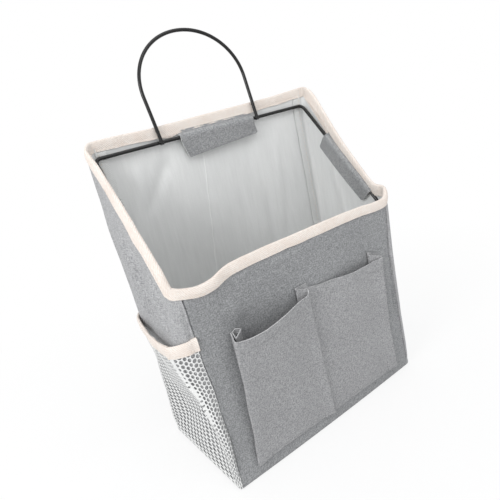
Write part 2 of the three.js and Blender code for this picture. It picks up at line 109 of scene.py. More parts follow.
def set_camera():
    turn, drop, roll = (math.radians(v) for v in (CAMERA_TURN, CAMERA_DROP, CAMERA_ROLL))
    ahead = Vector((-math.sin(turn) * math.cos(drop), math.cos(turn) * math.cos(drop), -math.sin(drop)))
    level = ahead.cross(Vector((0, 0, 1))).normalized()
    upright = level.cross(ahead)
    right = math.cos(roll) * level + math.sin(roll) * upright
    up = -math.sin(roll) * level + math.cos(roll) * upright
    bpy.ops.object.camera_add(location=[v * MM for v in CAMERA_PLACE])
    camera = bpy.context.object
    camera.name = "photo_camera"
    camera.rotation_euler = Matrix((right, up, -ahead)).transposed().to_euler()
    camera.data.sensor_width = 36
    camera.data.lens = CAMERA_LENS
    camera.data.clip_start = 0.01
    camera.data.clip_end = 20
    bpy.context.scene.camera = camera


set_camera()


# Where the walls stand, from the solids
def solid_box(node):
    low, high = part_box(node)
    return [v / MM for v in low], [v / MM for v in high]


FRONT = solid_box("front_panel")[0][1]
BACK = solid_box("back_panel")[1][1]
LEFT = solid_box("left_side_panel")[0][0]
RIGHT = solid_box("right_side_panel")[1][0]
WIDE = RIGHT - LEFT
DEEP = BACK - FRONT
ROUND = 2 * (WIDE + DEEP)
STARTS = np.array([0, WIDE, WIDE + DEEP, 2 * WIDE + DEEP])
RUNS = np.array([WIDE, DEEP, WIDE, DEEP])
MIDDLE_Y = (FRONT + BACK) / 2


# Smooth lines and unevenness
def ease(value):
    value = np.clip(value, 0, 1)
    return value * value * (3 - 2 * value)


def hump(value, middle, half_width):
    """1 at the middle, falling smoothly to 0 at half_width from it."""
    return 1 - ease(np.abs(value - middle) / half_width)


def through(knots, at, round_run=None):
    """A smooth line through (place, value) knots, read at each place. It closes on itself after round_run."""
    knots = sorted(knots)
    at = np.asarray(at, float)
    if round_run:
        at = np.mod(at, round_run)
        before = [(place - round_run, value) for place, value in knots]
        after = [(place + round_run, value) for place, value in knots]
        knots = before + knots + after
    places = np.array([k[0] for k in knots], float)
    values = np.array([k[1] for k in knots], float)
    at = np.clip(at, places[0], places[-1])
    steps = np.diff(places)
    rises = np.diff(values) / steps
    slopes = np.concatenate([[rises[0]], (rises[:-1] + rises[1:]) / 2, [rises[-1]]])
    flat = np.concatenate([[False], rises[:-1] * rises[1:] <= 0, [False]])
    slopes[flat] = 0
    least = np.minimum(np.abs(np.append(rises, rises[-1])), np.abs(np.insert(rises, 0, rises[0])))
    slopes = np.clip(slopes, -2.5 * least - 1e-9, 2.5 * least + 1e-9)
    k = np.clip(np.searchsorted(places, at, side="right") - 1, 0, len(steps) - 1)
    h = steps[k]
    t = (at - places[k]) / h
    return (
        (2 * t**3 - 3 * t**2 + 1) * values[k]
        + (t**3 - 2 * t**2 + t) * h * slopes[k]
        + (-2 * t**3 + 3 * t**2) * values[k + 1]
        + (t**3 - t**2) * h * slopes[k + 1]
    )


def uneven(a, b, humps_a, pitch_b, seed, run_a=ROUND):
    """Smooth unevenness from -1 to 1: humps_a of them round run_a one way, and one each pitch_b the other."""
    lattice = np.random.default_rng(seed).uniform(-1, 1, (humps_a, LATTICE))
    u = np.asarray(a, float) / run_a * humps_a
    v = np.asarray(b, float) / pitch_b
    i, j = np.floor(u).astype(int), np.floor(v).astype(int)
    f, g = ease(u - i), ease(v - j)
    i0, i1, j0, j1 = i % humps_a, (i + 1) % humps_a, j % LATTICE, (j + 1) % LATTICE
    low = lattice[i0, j0] * (1 - f) + lattice[i1, j0] * f
    high = lattice[i0, j1] * (1 - f) + lattice[i1, j1] * f
    return low * (1 - g) + high * g


# The bag's walls, as a place round the bag (k) and a height (z). Corners are counted from the front left one
# by way of the front right one.

# How round each corner is, by height
CORNER_ROUNDING = [
    [(0, 1.8), (10, 3.0), (40, 6.0), (60, 8.0), (82, 11.0), (95, 12.5), (112, 13.5), (128, 11.5), (148, 8.5),
     (165, 8.0), (260, 8.0)],
    [(0, 5.0), (60, 8.0), (115, 8.5), (165, 7.5), (260, 7.5)],
    [(0, 5.0), (120, 7.0), (230, 6.0), (260, 6.0)],
    [(0, 3.0), (20, 5.0), (60, 6.0), (110, 8.0), (150, 9.0), (200, 10.0), (228, 9.0), (245, 8.0), (260, 7.0)],
]

# How far each corner is shifted to the right and to the back, by height
CORNER_SHIFT = [
    ([(0, 7.6), (10, 7.8), (20, 7.7), (41, 7.0), (63, 4.0), (82, 1.6), (95, -1.1), (112, -3.0), (128, -1.2),
      (148, 0.6), (260, 0.8)],
     [(0, -3.4), (14, -2.0), (60, -0.3), (160, 0.0), (260, 0.0)]),
    ([(0, 1.2), (40, -1.2), (110, -2.0), (146, -1.4), (260, -1.4)],
     [(0, 5.3), (30, 2.2), (80, 0.6), (160, 0.0), (260, 0.0)]),
    ([(0, 0.0), (150, 0.0), (235, 0.3), (256, 3.0)],
     [(0, 0.0), (256, 0.0)]),
    ([(0, -1.9), (6, -3.0), (17, -4.2), (40, -3.4), (66, -2.5), (82, -1.2), (98, -2.4), (112, -3.6),
      (150, -3.6), (193, -4.2), (215, -3.0), (240, -2.2), (254, -1.0)],
     [(0, 3.5), (30, 2.0), (120, 1.0), (256, 0.0)]),
]

# How far the foot of the front stands out in its middle
FRONT_FOOT = 5.2

# Height of the mouth round the bag, from the corner at the front left
MOUTH = [
    (0, 160.9), (6, 160.2), (14, 158.4), (22, 157.4), (29, 158.0), (40, 160.6), (52, 162.2), (90, 162.6),
    (140, 162.7), (165, 162.2), (182, 161.2), (190, 162.0), (200, 168.0), (207, 170.0), (214, 170.8),
    (222, 177.0), (243, 204.5), (260, 230.0), (270, 245.0), (279, 254.2), (286, 257.4), (292, 258.3),
    (305, 257.9), (330, 256.6), (400, 255.4), (440, 254.7), (470, 255.6), (486, 255.4), (492, 254.2),
    (500, 250.6), (512, 240.0), (530, 221.5), (545, 206.0), (560, 190.0), (572, 175.5), (578, 167.5),
]

# How far the edge of the mouth leans in over the wire, round the bag
MOUTH_LEAN = [
    (0, 2.6), (8, 1.2), (20, -1.6), (30, -1.8), (42, 0.6), (55, 1.3), (110, 1.4), (165, 1.2), (186, 0.4),
    (200, 0.0), (214, 1.6), (245, 1.2), (275, 0.0), (292, -1.2), (305, -0.6), (350, 0.0), (500, 0.0),
    (514, 1.6), (530, 2.4), (548, 2.6), (565, 2.3), (576, 2.4),
]


def mouth_height(k):
    return through(MOUTH, k, ROUND)


def wall_base(k, z):
    """Points and outward directions of the walls before the cloth's own unevenness."""
    k, z = np.broadcast_arrays(np.mod(np.asarray(k, float), ROUND), np.asarray(z, float))
    side = np.searchsorted(STARTS[1:], k, side="right")
    along_k = k - STARTS[side]
    run = RUNS[side]
    rounding = np.array([through(r, z) for r in CORNER_ROUNDING])
    here = np.take_along_axis(rounding, side[None], 0)[0]
    onward = np.take_along_axis(rounding, ((side + 1) % 4)[None], 0)[0]
    first = np.clip(1 - along_k / CORNER_RUN, 0, 1) * math.pi / 4
    last = np.clip(1 - (run - along_k) / CORNER_RUN, 0, 1) * math.pi / 4
    middle = here + (along_k - CORNER_RUN) / (run - 2 * CORNER_RUN) * (run - here - onward)
    along = np.where(first > 0, here * (1 - np.sin(first)), middle)
    along = np.where(last > 0, run - onward * (1 - np.sin(last)), along)
    out = -here * (1 - np.cos(first)) - onward * (1 - np.cos(last))
    turn = last - first
    ways = np.array([[1, 0], [0, 1], [-1, 0], [0, -1]], float)[side]
    outs = np.array([[0, -1], [1, 0], [0, 1], [-1, 0]], float)[side]
    origins = np.array([[LEFT, FRONT], [RIGHT, FRONT], [RIGHT, BACK], [LEFT, BACK]])[side]
    flat = origins + ways * along[..., None] + outs * out[..., None]
    normal = outs * np.cos(turn)[..., None] + ways * np.sin(turn)[..., None]
    share_x = (flat[..., 0] - LEFT) / WIDE
    share_y = (flat[..., 1] - FRONT) / DEEP
    far_x, far_y = 1 - share_x, 1 - share_y
    weights = [far_x * far_y, share_x * far_y, share_x * share_y, far_x * share_y]
    for weight, (shift_x, shift_y) in zip(weights, CORNER_SHIFT):
        flat[..., 0] += weight * through(shift_x, z)
        flat[..., 1] += weight * through(shift_y, z)
    share_x, share_y = np.clip(share_x, 0, 1), np.clip(share_y, 0, 1)
    flat[..., 1] -= FRONT_FOOT * share_x * (1 - share_x) * (1 - share_y) * hump(z, 0, 70)
    return np.concatenate([flat, z[..., None]], -1), np.concatenate([normal, np.zeros(z.shape + (1,))], -1)


# How deep the left side and the right side fold in
SIDE_CREASE = (8.5, 4.5)

# Folds in the walls: place and height of both ends, half width, and how far each stands out
FOLDS = [
    (539, 196, 534, 121, 4.6, 4.8),
    (549, 188, 545, 121, 4.2, -0.8),
    (527, 208, 521, 121, 5.0, 3.4),
    (558, 172, 567, 121, 4.6, 3.6),
    (567, 170, 560, 121, 3.6, -0.6),
    (511, 226, 500, 130, 6.0, -0.8),
    (238, 182, 244, 112, 5.0, 1.6),
    (262, 200, 250, 120, 6.0, -1.4),
    (225, 160, 230, 30, 4.0, -1.2),
    (403, 222, 417, 118, 1.1, 0.7),
    (350, 190, 356, 90, 7.0, 1.0),
    (330, 230, 343, 120, 4.0, -0.7),
    (437, 214, 446, 120, 6.0, 0.9),
    (455, 240, 479, 150, 9.0, -2.6),
    (430, 236, 462, 188, 7.0, 1.8),
    (192, 150, 185, 40, 3.5, -1.5),
    (180, 138, 186, 70, 3.0, 0.7),
    (118, 146, 86, 128, 8.0, -0.6),
    (150, 148, 172, 124, 5.0, 0.7),
    (32, 157, 46, 120, 7.0, 2.9),
]


def fold_height(k, z):
    total = np.zeros(np.broadcast(k, z).shape)
    for k0, z0, k1, z1, half, stand in FOLDS:
        run_k, run_z = k1 - k0, z1 - z0
        long = math.hypot(run_k, run_z)
        gap_k = np.mod(k - k0 + ROUND / 2, ROUND) - ROUND / 2
        along = (gap_k * run_k + (z - z0) * run_z) / long
        across = (gap_k * run_z - (z - z0) * run_k) / long
        fade = ease(along / (0.3 * long)) * ease((long - along) / (0.3 * long))
        total += stand * fade * hump(across, 0, half)
    return total


# How much of its depth a side's fold has, by the distance from the back corner
CREASE_SHARE = [(-3, 0), (12, 0.6), (32, 1), (58, 1), (74, 0.75), (88, 0.12), (93, 0)]

# How far from a corner the cloth is held, and over what height the mouth's edge leans in
CORNER_HOLD = 26
LEAN_HIGH = 10.5

# Height of the stitches that hold the front flap, at their two ends round the bag
FLAP_LINE = ([43, 154], [147.6, 146.0])

# How far the corner at the front left is drawn flat, by height
CORNER_DRAWN = [(0, 0), (40, 0.2), (70, 0.8), (112, 0.85), (130, 0.5), (150, 0)]


def side_crease(from_back, z):
    """Each side folds in along a line that climbs from its low back corner towards the front."""
    line = np.clip(6 + 0.9 * from_back, 5, 56)
    below = z / line
    fading = 0.35 * np.clip(1 - (z - 112) / 78, 0, 1)
    above = np.where(z < 112, 1 - 0.65 * (z - line) / (112 - line), fading)
    depth = np.maximum((below + above - np.sqrt((below - above) ** 2 + 0.012)) / 2, 0)
    return depth * through(CREASE_SHARE, from_back)


def slack(k, z):
    """How far the cloth stands out from its flat wall."""
    k = np.mod(k, ROUND)
    top = mouth_height(k)
    free = ease(np.minimum.reduce([np.abs(k - corner) for corner in (*STARTS, ROUND)]) / CORNER_HOLD)
    held = 1 - hump(z, top - 12, 16)
    wide = uneven(k, z, 11, 62, 3) + uneven(k, z, 29, 47, 4) * 0.5
    fine = uneven(k, z, 90, 60, 5) * 0.24 + uneven(k, z, 61, 14, 6) * 0.12
    total = (wide * held * free + fine) * ease((z - 8) / 20)
    total -= 0.7 * hump(z, 60, 75) * hump(k, 100, 110) * free
    # The cloth beside the front seams is drawn round towards the side
    low_half = ease((150 - z) / 20) * ease((z - 4) / 14)
    total -= 2.6 * (1 - ease((k - 9) / 21)) * (k < 60) * low_half * ease((k - 2) / 5)
    # The left part of the front stands out under the mouth
    total += 2.2 * hump(k, 24, 22) * ease((z - 112) / 30) * ease((top + 6 - z) / 14)
    # The edge of the mouth leans in over the wire
    total -= through(MOUTH_LEAN, k, ROUND) * ease((LEAN_HIGH - (top - z)) / LEAN_HIGH)
    # The back sags a little between the corners
    total += 1.6 * hump(k, 392, 95) * hump(np.clip(z / top, 0, 1), 0.42, 0.4)
    # Just under the tape the cloth draws in a little
    total -= 0.45 * hump(z, top - 7.6, 2.4)
    total -= SIDE_CREASE[0] * side_crease(k - 2 * WIDE - DEEP, z)
    total -= SIDE_CREASE[1] * side_crease(WIDE + DEEP - k, z)
    # The stitches that hold the front flap draw the cloth in
    total -= 0.3 * hump(z, np.interp(k, *FLAP_LINE), 2.8) * ease((k - 41) / 3) * ease((157 - k) / 3)
    total -= 0.4 * hump(k, 157 + (z - 146) * 0.35, 3.2) * ease((z - 144) / 3) * ease((157 - z) / 4)
    # The corner at the front left is drawn nearly flat where the net pulls on it
    off = np.minimum(np.abs(np.mod(k + ROUND / 2, ROUND) - ROUND / 2) / CORNER_RUN, 1)
    flat = np.cos(off * math.pi / 4) - math.cos(math.pi / 4)
    total -= flat * through(CORNER_DRAWN, z) * through(CORNER_ROUNDING[0], z)
    return total + fold_height(k, z) * held


def wall_point(k, z, stand=0.0):
    """Points of the cloth's outer face, or of a layer that stands off it."""
    point, normal = wall_base(k, z)
    return point + normal * (slack(k, z) + stand)[..., None], normal


# Making sheets
def choose(*pieces):
    bpy.ops.object.select_all(action="DESELECT")
    for piece in pieces:
        bpy.context.view_layer.objects.active = piece
        piece.select_set(True)


def edit_all(change, **settings):
    """One change to all of the active piece's mesh."""
    bpy.ops.object.mode_set(mode="EDIT")
    bpy.ops.mesh.select_all(action="SELECT")
    change(**settings)
    bpy.ops.object.mode_set(mode="OBJECT")


def read_all(items, what, width, kind=float):
    """One value of every item, as rows of numbers."""
    values = np.zeros(len(items) * width, kind)
    items.foreach_get(what, values)
    return values.reshape(-1, width)


def smooth_faces(piece, degrees=50):
    choose(piece)
    bpy.ops.object.shade_smooth_by_angle(angle=math.radians(degrees))


def merge_close(piece, near=0.01):
    choose(piece)
    edit_all(bpy.ops.mesh.remove_doubles, threshold=near * MM)


def give_thickness(piece, thick, offset=0.0, inside=0, rim=0, degrees=50):
    wall = piece.modifiers.new("thickness", "SOLIDIFY")
    wall.thickness = thick * MM
    wall.offset = offset
    wall.material_offset = inside
    wall.material_offset_rim = rim
    choose(piece)
    bpy.ops.object.modifier_apply(modifier=wall.name)
    smooth_faces(piece, degrees)


def cloth_grid(name, rows, lays, *materials, closed=False, backwards=False):
    """A sheet from a grid, its points moved to rows of places in millimetres. lays gives each one's place on
    the flat cloth. A closed sheet's last column meets its first. A backwards one faces the other way."""
    way = -1 if backwards else 1
    points, lay = np.array(rows)[:, ::way], np.array(lays)[:, ::way]
    tall, wide = points.shape[:2]
    choose()
    bpy.ops.mesh.primitive_grid_add(x_subdivisions=wide - 1, y_subdivisions=tall - 1, size=1)
    piece = bpy.context.object
    piece.name = name
    mesh = piece.data
    mesh.name = name
    place = read_all(mesh.vertices, "co", 3)
    column = np.rint((place[:, 0] + 0.5) * (wide - 1)).astype(int)
    row = np.rint((place[:, 1] + 0.5) * (tall - 1)).astype(int)
    mesh.vertices.foreach_set("co", (points[row, column] * MM).ravel())
    corner = read_all(mesh.loops, "vertex_index", 1, np.int32)[:, 0]
    mesh.uv_layers[0].name = "cloth_lay"
    mesh.uv_layers[0].data.foreach_set("uv", (lay[row, column][corner] * MM).ravel())
    mesh.update()
    if closed:
        merge_close(piece)
    smooth_faces(piece)
    for material in materials:
        mesh.materials.append(material)
    return piece


def settle(piece, body, slot, *nodes):
    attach(piece, body)
    if nodes:
        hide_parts(*nodes)


def sewn_sheet(name, rows, lays, thick, body, slot, node, *materials, rim=0, **ways):
    """A sheet with its thickness, in the place of a node."""
    piece = cloth_grid(name, rows, lays, *materials, **ways)
    give_thickness(piece, thick, rim=rim)
    settle(piece, body, slot, node)
    return piece


def lay_row(across, up):
    """Places on the flat cloth for one row of a sheet."""
    return np.stack(np.broadcast_arrays(across, up), -1).astype(float)


def run_along(points):
    """Distance of each point from the first, along the line."""
    return np.concatenate([[0], np.cumsum(np.linalg.norm(np.diff(points, axis=0), axis=1))])


# Materials
class Nodes:
    """A node tree with its nodes added one by one."""

    def __init__(self, tree):
        self.nodes = tree.nodes
        self.links = tree.links

    def add(self, kind, settings=None, **inputs):
        node = self.nodes.new("ShaderNode" + kind)
        for key, value in (settings or {}).items():
            setattr(node, key, value)
        for key, value in inputs.items():
            self.put(node.inputs[int(key[1:]) if key[1:].isdigit() else key], value)
        return node

    def put(self, socket, value):
        if isinstance(value, bpy.types.NodeSocket):
            self.links.new(value, socket)
        else:
            socket.default_value = value

    def sum(self, operation, *values):
        node = self.add("Math", {"operation": operation})
        for socket, value in zip(node.inputs, values):
            self.put(socket, value)
        return node.outputs[0]

    def seen(self):
        """1 for what the camera sees itself or in a shine, 0 for the light on other things."""
        path = self.add("LightPath")
        return self.sum("MAXIMUM", path.outputs["Is Camera Ray"], path.outputs["Is Glossy Ray"])

    def end_in(self, output, share, first, second):
        """The output, as a mix of two shaders."""
        mixed = self.add("MixShader", Fac=share, i1=first.outputs[0], i2=second.outputs[0])
        self.links.new(mixed.outputs[0], self.nodes[output].inputs["Surface"])


class Finish(Nodes):
    """A material."""

    def __init__(self, name, roughness=0.9, sheen=0.0, specular=0.3):
        self.material = bpy.data.materials.new(name)
        self.material.use_nodes = True
        super().__init__(self.material.node_tree)
        self.shader = self.nodes["Principled BSDF"]
        self.dress(("Roughness", roughness), ("Sheen Weight", sheen), ("Specular IOR Level", specular))

    def dress(self, *settings):
        for name, value in settings:
            if value is not None:
                self.put(self.shader.inputs[name], value)

    def done(self, colour, normal=None, roughness=None):
        self.dress(("Base Color", colour), ("Normal", normal), ("Roughness", roughness))
        return self.material

    def in_millimetres(self, place):
        return self.add("VectorMath", {"operation": "SCALE"}, Vector=place, Scale=1 / MM).outputs[0]

    def cloth_place(self):
        """Place on the flat cloth."""
        return self.in_millimetres(self.add("UVMap", {"uv_map": "cloth_lay"}).outputs[0])

    def solid_place(self):
        """Place on the piece."""
        return self.in_millimetres(self.add("TexCoord").outputs["Object"])

    def grain(self, place, scale, detail=2.0, rough=0.5, stretch=None):
        """Smooth noise, with its own scale each way where it is stretched."""
        if stretch:
            place = self.add("Mapping", Vector=place, Scale=(*stretch, 1)).outputs[0]
        return self.add("TexNoise", Vector=place, Scale=scale, Detail=detail, Roughness=rough).outputs["Fac"]

    def ranged(self, value, low, high, first=0.0, second=1.0):
        ends = {"From Min": low, "From Max": high, "To Min": first, "To Max": second}
        return self.add("MapRange", Value=value, **ends).outputs[0]

    def blend(self, share, first, second):
        return self.add("MixRGB", Fac=share, Color1=first, Color2=second).outputs[0]

    def wash(self, colour, value, low, high, other, most=1.0):
        """The colour, with up to most of another where a value runs from low to high."""
        return self.blend(self.ranged(value, low, high, 0.0, most), colour, other)

    def raised(self, height, distance, strength=1.0, under=None):
        node = self.add("Bump", Height=height, Distance=distance * MM, Strength=strength)
        if under is not None:
            self.put(node.inputs["Normal"], under)
        return node.outputs[0]


def tone(red, green, blue):
    """A colour as it looks on a screen, from 0 to 255, as the light that it stands for."""
    shares = [v / 255 for v in (red, green, blue)]
    return (*(v / 12.92 if v <= 0.04045 else ((v + 0.055) / 1.055) ** 2.4 for v in shares), 1)


# Width of one thread in the cloth
CLOTH_THREAD = 0.56


def woven_cloth(name, base, dark, light):
    """Plain-woven cotton and linen: threads both ways, each with its own tone and thick and thin places."""
    base, dark, light = tone(*base), tone(*dark), tone(*light)
    f = Finish(name, roughness=0.92, sheen=0.12, specular=0.2)
    place = f.cloth_place()
    axes = f.add("SeparateXYZ", Vector=place)
    wobble = f.sum("MULTIPLY", f.grain(place, 0.25, 3.0), 1.2)
    waves = []
    for axis in "XY":
        at = f.sum("ADD", axes.outputs[axis], wobble)
        waves.append(f.sum("SINE", f.sum("MULTIPLY", at, math.pi / CLOTH_THREAD)))
    warp = f.grain(place, 1.0, 4.0, 0.7, (1.6, 0.24))
    weft = f.grain(place, 1.0, 4.0, 0.7, (0.24, 1.6))
    threads = f.sum("ADD", warp, weft)
    fleck = f.grain(place, 0.95, 4.0, 0.7)
    colour = f.blend(0.62, base, f.wash(dark, threads, 0.86, 1.14, light))
    colour = f.wash(colour, fleck, 0.5, 0.62, light, 0.55)
    colour = f.wash(colour, fleck, 0.5, 0.38, dark, 0.5)
    colour = f.wash(colour, f.grain(place, 0.035, 2.0), 0.3, 0.7, dark, 0.16)
    weave = f.sum("ADD", f.sum("MULTIPLY", f.sum("MULTIPLY", *waves), 0.4), threads)
    normal = f.raised(f.sum("ADD", weave, fleck), 0.2, 0.85)
    return f.done(colour, f.raised(f.grain(place, 0.12, 3.0), 0.6, 0.4, normal))


# A crease pressed down the back, raised a little and drawn lighter as a painted highlight: where it meets the
# floor round the bag, and how far it leans as it climbs
PRESSED_LINE = 432.9
PRESSED_LEAN = 0.1346


def make_lining():
    """Pale waterproof coating, with fine upright creases."""
    f = Finish("pale_lining", roughness=0.6, sheen=0.05, specular=0.3)
    place = f.cloth_place()
    crease = f.grain(place, 1.0, 5.0, 0.65, (0.3, 0.03))
    broad = f.grain(place, 1.0, 3.0, 0.5, (0.05, 0.02))
    weave = f.grain(place, 1.1, 4.0, 0.7)
    colour = f.wash(tone(217, 218, 217), crease, 0.3, 0.7, tone(227, 228, 227))
    colour = f.wash(colour, broad, 0.35, 0.65, tone(212, 213, 213), 0.25)
    colour = f.wash(colour, weave, 0.35, 0.65, tone(209, 210, 210), 0.3)
    axes = f.add("SeparateXYZ", Vector=place)
    aside = f.sum("ADD", axes.outputs["X"], f.sum("MULTIPLY", axes.outputs["Y"], PRESSED_LEAN))
    aside = f.sum("ABSOLUTE", f.sum("SUBTRACT", aside, PRESSED_LINE))
    crease_with_painted_highlight = f.sum("MULTIPLY", f.ranged(aside, 0.9, 0.2), f.ranged(axes.outputs["Y"], 240, 222))
    # The crease is drawn lighter: a painted highlight along its ridge
    colour = f.blend(f.sum("MULTIPLY", crease_with_painted_highlight, 0.55), colour, tone(238, 239, 238))
    normal = f.raised(crease, 0.55, 0.4)
    normal = f.raised(weave, 0.14, 0.6, normal)
    normal = f.raised(crease_with_painted_highlight, 0.3, 0.6, normal)
    return f.done(colour, normal, f.ranged(crease, 0.3, 0.7, 0.52, 0.7))


def make_tape(name, pale, warm):
    """Cotton tape in a fine twill."""
    f = Finish(name, roughness=0.88, sheen=0.15, specular=0.2)
    place = f.cloth_place()
    axes = f.add("SeparateXYZ", Vector=place)
    slant = f.sum("ADD", axes.outputs["X"], f.sum("MULTIPLY", axes.outputs["Y"], 0.8))
    slant = f.sum("ADD", slant, f.sum("MULTIPLY", f.grain(place, 0.5, 2.0), 0.7))
    rib = f.sum("SINE", f.sum("MULTIPLY", slant, 2 * math.pi / 1.5))
    thread = f.grain(place, 1.0, 4.0, 0.65, (0.5, 1.6))
    colour = f.wash(warm, rib, -1, 1, pale)
    colour = f.wash(colour, thread, 0.4, 0.62, pale, 0.6)
    colour = f.wash(colour, thread, 0.5, 0.36, warm, 0.5)
    colour = f.wash(colour, f.grain(place, 0.09, 3.0), 0.4, 0.68, warm, 0.5)
    normal = f.raised(f.sum("ADD", f.sum("MULTIPLY", rib, 0.5), thread), 0.22, 0.9)
    return f.done(colour, f.raised(f.grain(place, 0.25, 2.0), 0.6, 0.5, normal))


def make_net_thread():
    f = Finish("white_net_thread", roughness=0.6, sheen=0.1, specular=0.35)
    place = f.solid_place()
    strand = f.grain(place, 2.5, 3.0)
    colour = f.wash(tone(212, 213, 212), strand, 0.3, 0.7, tone(233, 233, 231))
    colour = f.wash(colour, f.grain(place, 0.08, 2.0), 0.4, 0.7, tone(205, 206, 206), 0.3)
    return f.done(colour, f.raised(strand, 0.12, 0.7))


def make_wire_coat():
    """Black enamel on steel wire, with a faint unevenness."""
    f = Finish("black_wire_coat", roughness=0.36, specular=0.14)
    f.dress(("Coat Weight", 0.45), ("Coat Roughness", 0.1))
    place = f.solid_place()
    dust = f.grain(place, 1.4, 4.0, 0.6)
    colour = f.wash(tone(12, 12, 13), dust, 0.35, 0.75, tone(24, 24, 25))
    colour = f.wash(colour, f.grain(place, 0.05, 2.0), 0.4, 0.7, tone(30, 30, 29), 0.3)
    return f.done(colour, f.raised(dust, 0.03, 0.4), f.ranged(dust, 0.3, 0.7, 0.24, 0.38))


def make_strip(name, dark, light, pitch, depth):
    """Hook or loop strip: small stiff hooks in rows, or a brushed pile."""
    f = Finish(name, roughness=0.85, sheen=0.25, specular=0.25)
    place = f.cloth_place()
    cell = f.add("TexVoronoi", {"feature": "F1"}, Vector=place, Scale=1 / pitch).outputs["Distance"]
    pile = f.grain(place, 1.1 / pitch, 4.0, 0.7)
    colour = f.wash(light, cell, 0.1, 0.6, dark)
    colour = f.wash(colour, pile, 0.3, 0.7, light, 0.4)
    return f.done(colour, f.raised(f.sum("SUBTRACT", pile, cell), depth, 0.8))


def make_sewing_thread(name, dark, light):
    f = Finish(name, roughness=0.7, sheen=0.1, specular=0.3)
    twist = f.grain(f.solid_place(), 6.0, 2.0)
    return f.done(f.wash(dark, twist, 0.35, 0.65, light), f.raised(twist, 0.05, 0.6))


grey_cloth = woven_cloth("grey_cloth_weave", (140, 141, 142), (108, 109, 111), (176, 177, 178))
# The side walls: the same grey cloth drawn lighter, painted light for the sides that the lamps light more
side_cloth_painted_light = woven_cloth("side_cloth_painted_light_weave", (162, 162, 163), (127, 128, 130), (200, 200, 201))
pocket_cloth = woven_cloth("pocket_cloth_weave", (151, 151, 152), (118, 118, 120), (186, 186, 187))
# The pocket's cut edges: the pocket cloth drawn lighter, a painted highlight along its hems
hem_cloth_painted_highlight = woven_cloth("hem_cloth_painted_highlight_weave", (182, 182, 183), (160, 160, 161), (206, 206, 207))
# The flaps: the outer grey cloth drawn a little lighter, painted light for the lit flaps
flap_cloth_painted_light = woven_cloth("flap_cloth_painted_light_weave", (146, 147, 148), (112, 113, 115), (184, 185, 186))
pale_lining = make_lining()
cream_tape = make_tape("cream_binding_tape", tone(236, 231, 225), tone(221, 206, 195))
seam_tape = make_tape("pale_seam_tape", tone(228, 229, 228), tone(216, 217, 216))
net_thread = make_net_thread()
wire_coat = make_wire_coat()
hook_pile = make_strip("hook_strip_face", tone(196, 197, 197), tone(222, 222, 221), 0.9, 0.35)
loop_pile = make_strip("loop_strip_face", tone(190, 191, 191), tone(219, 219, 218), 0.6, 0.25)
grey_thread = make_sewing_thread("grey_sewing_thread", tone(128, 129, 131), tone(166, 167, 168))
cream_thread = make_sewing_thread("cream_sewing_thread", tone(214, 201, 188), tone(240, 231, 221))


# The bag: one sewn shell, with its seams drawn in, its walls slack and its floor closed
def spaced_places(run):
    """Places along one wall, close together at the corners and at the seams beside them."""
    close = [0, 1.5, 3, 4.5, 6, 7.2, 8.0, 8.4, 8.7, 9.0, 9.3, 9.6, 10.0, 10.8, 12.5, 15]
    middle = np.linspace(15, run - 15, int(round((run - 30) / 2.6)) + 1)[1:-1]
    return np.array([*close, *middle, *(run - v for v in reversed(close[1:]))])


# The four upright seams
SEAMS = (CORNER_RUN, WIDE - CORNER_RUN, WIDE + DEEP + CORNER_RUN, 2 * WIDE + DEEP - CORNER_RUN)


def seam_pull(k, z):
    """A narrow groove along each seam, beside a slight ridge on the side cloth."""
    total = np.zeros(np.broadcast(k, z).shape)
    for seam, way in zip(SEAMS, (-1, 1, -1, 1)):
        total -= 0.95 * hump(k, seam, 0.75)
        total += 0.35 * hump(k, seam + way * 1.1, 1.0) + 0.25 * hump(k, seam - way * 1.3, 1.2)
    return total * (1 + 0.3 * uneven(k, z, 40, 6, 9))


def bag_points(k):
    """Rows of the shell from the middle of the floor up to the mouth."""
    zero = np.zeros_like(k)
    nearest = np.where((k >= STARTS[2]) & (k <= STARTS[3]), RIGHT - (k - STARTS[2]), LEFT + k)
    nearest = np.where((k > STARTS[1]) & (k < STARTS[2]), RIGHT, nearest)
    nearest = np.where(k > STARTS[3], LEFT, nearest)
    nearest = np.clip(nearest, LEFT + DEEP / 2, RIGHT - DEEP / 2)
    centre = np.stack([nearest, zero + MIDDLE_Y, zero], -1)
    under, normal = wall_base(k, zero)
    edge = under - normal * FLOOR_CURVE
    rows, lays = [], []
    for share in (1.0, 0.75, 0.5, 0.3, 0.15, 0.05):
        ring = edge + (centre - edge) * share
        bump = 0.25 + 0.25 * uneven(ring[:, 0] + 300, ring[:, 1] + 100, 12, 30, 11)
        ring[:, 2] = bump * ease(share * 4)
        rows.append(ring)
        lays.append(ring[:, :2])
    for angle in np.radians((0, 22.5, 45, 67.5, 90)):
        lift = FLOOR_CURVE * (1 - math.cos(angle))
        inset = FLOOR_CURVE * (1 - math.sin(angle))
        ring, normal = wall_base(k, zero + lift)
        rows.append(ring - normal * inset)
        lays.append(lay_row(k, lift - inset))
    top = mouth_height(k) - 0.6
    for step in (0.5, 1.2, 2.2, *np.linspace(3.5, 100, 78)):
        z = FLOOR_CURVE + (top - FLOOR_CURVE) * step / 100
        point, normal = wall_base(k, z)
        stand = slack(k, z) * ease((z - FLOOR_CURVE) / 8) + seam_pull(k, z) * ease((z - 3) / 6)
        # The seam round the floor draws the walls in
        stand -= 0.5 * hump(z, 6.0, 2.0)
        rows.append(point + normal * stand[:, None])
        lays.append(lay_row(k, z))
    return rows, lays


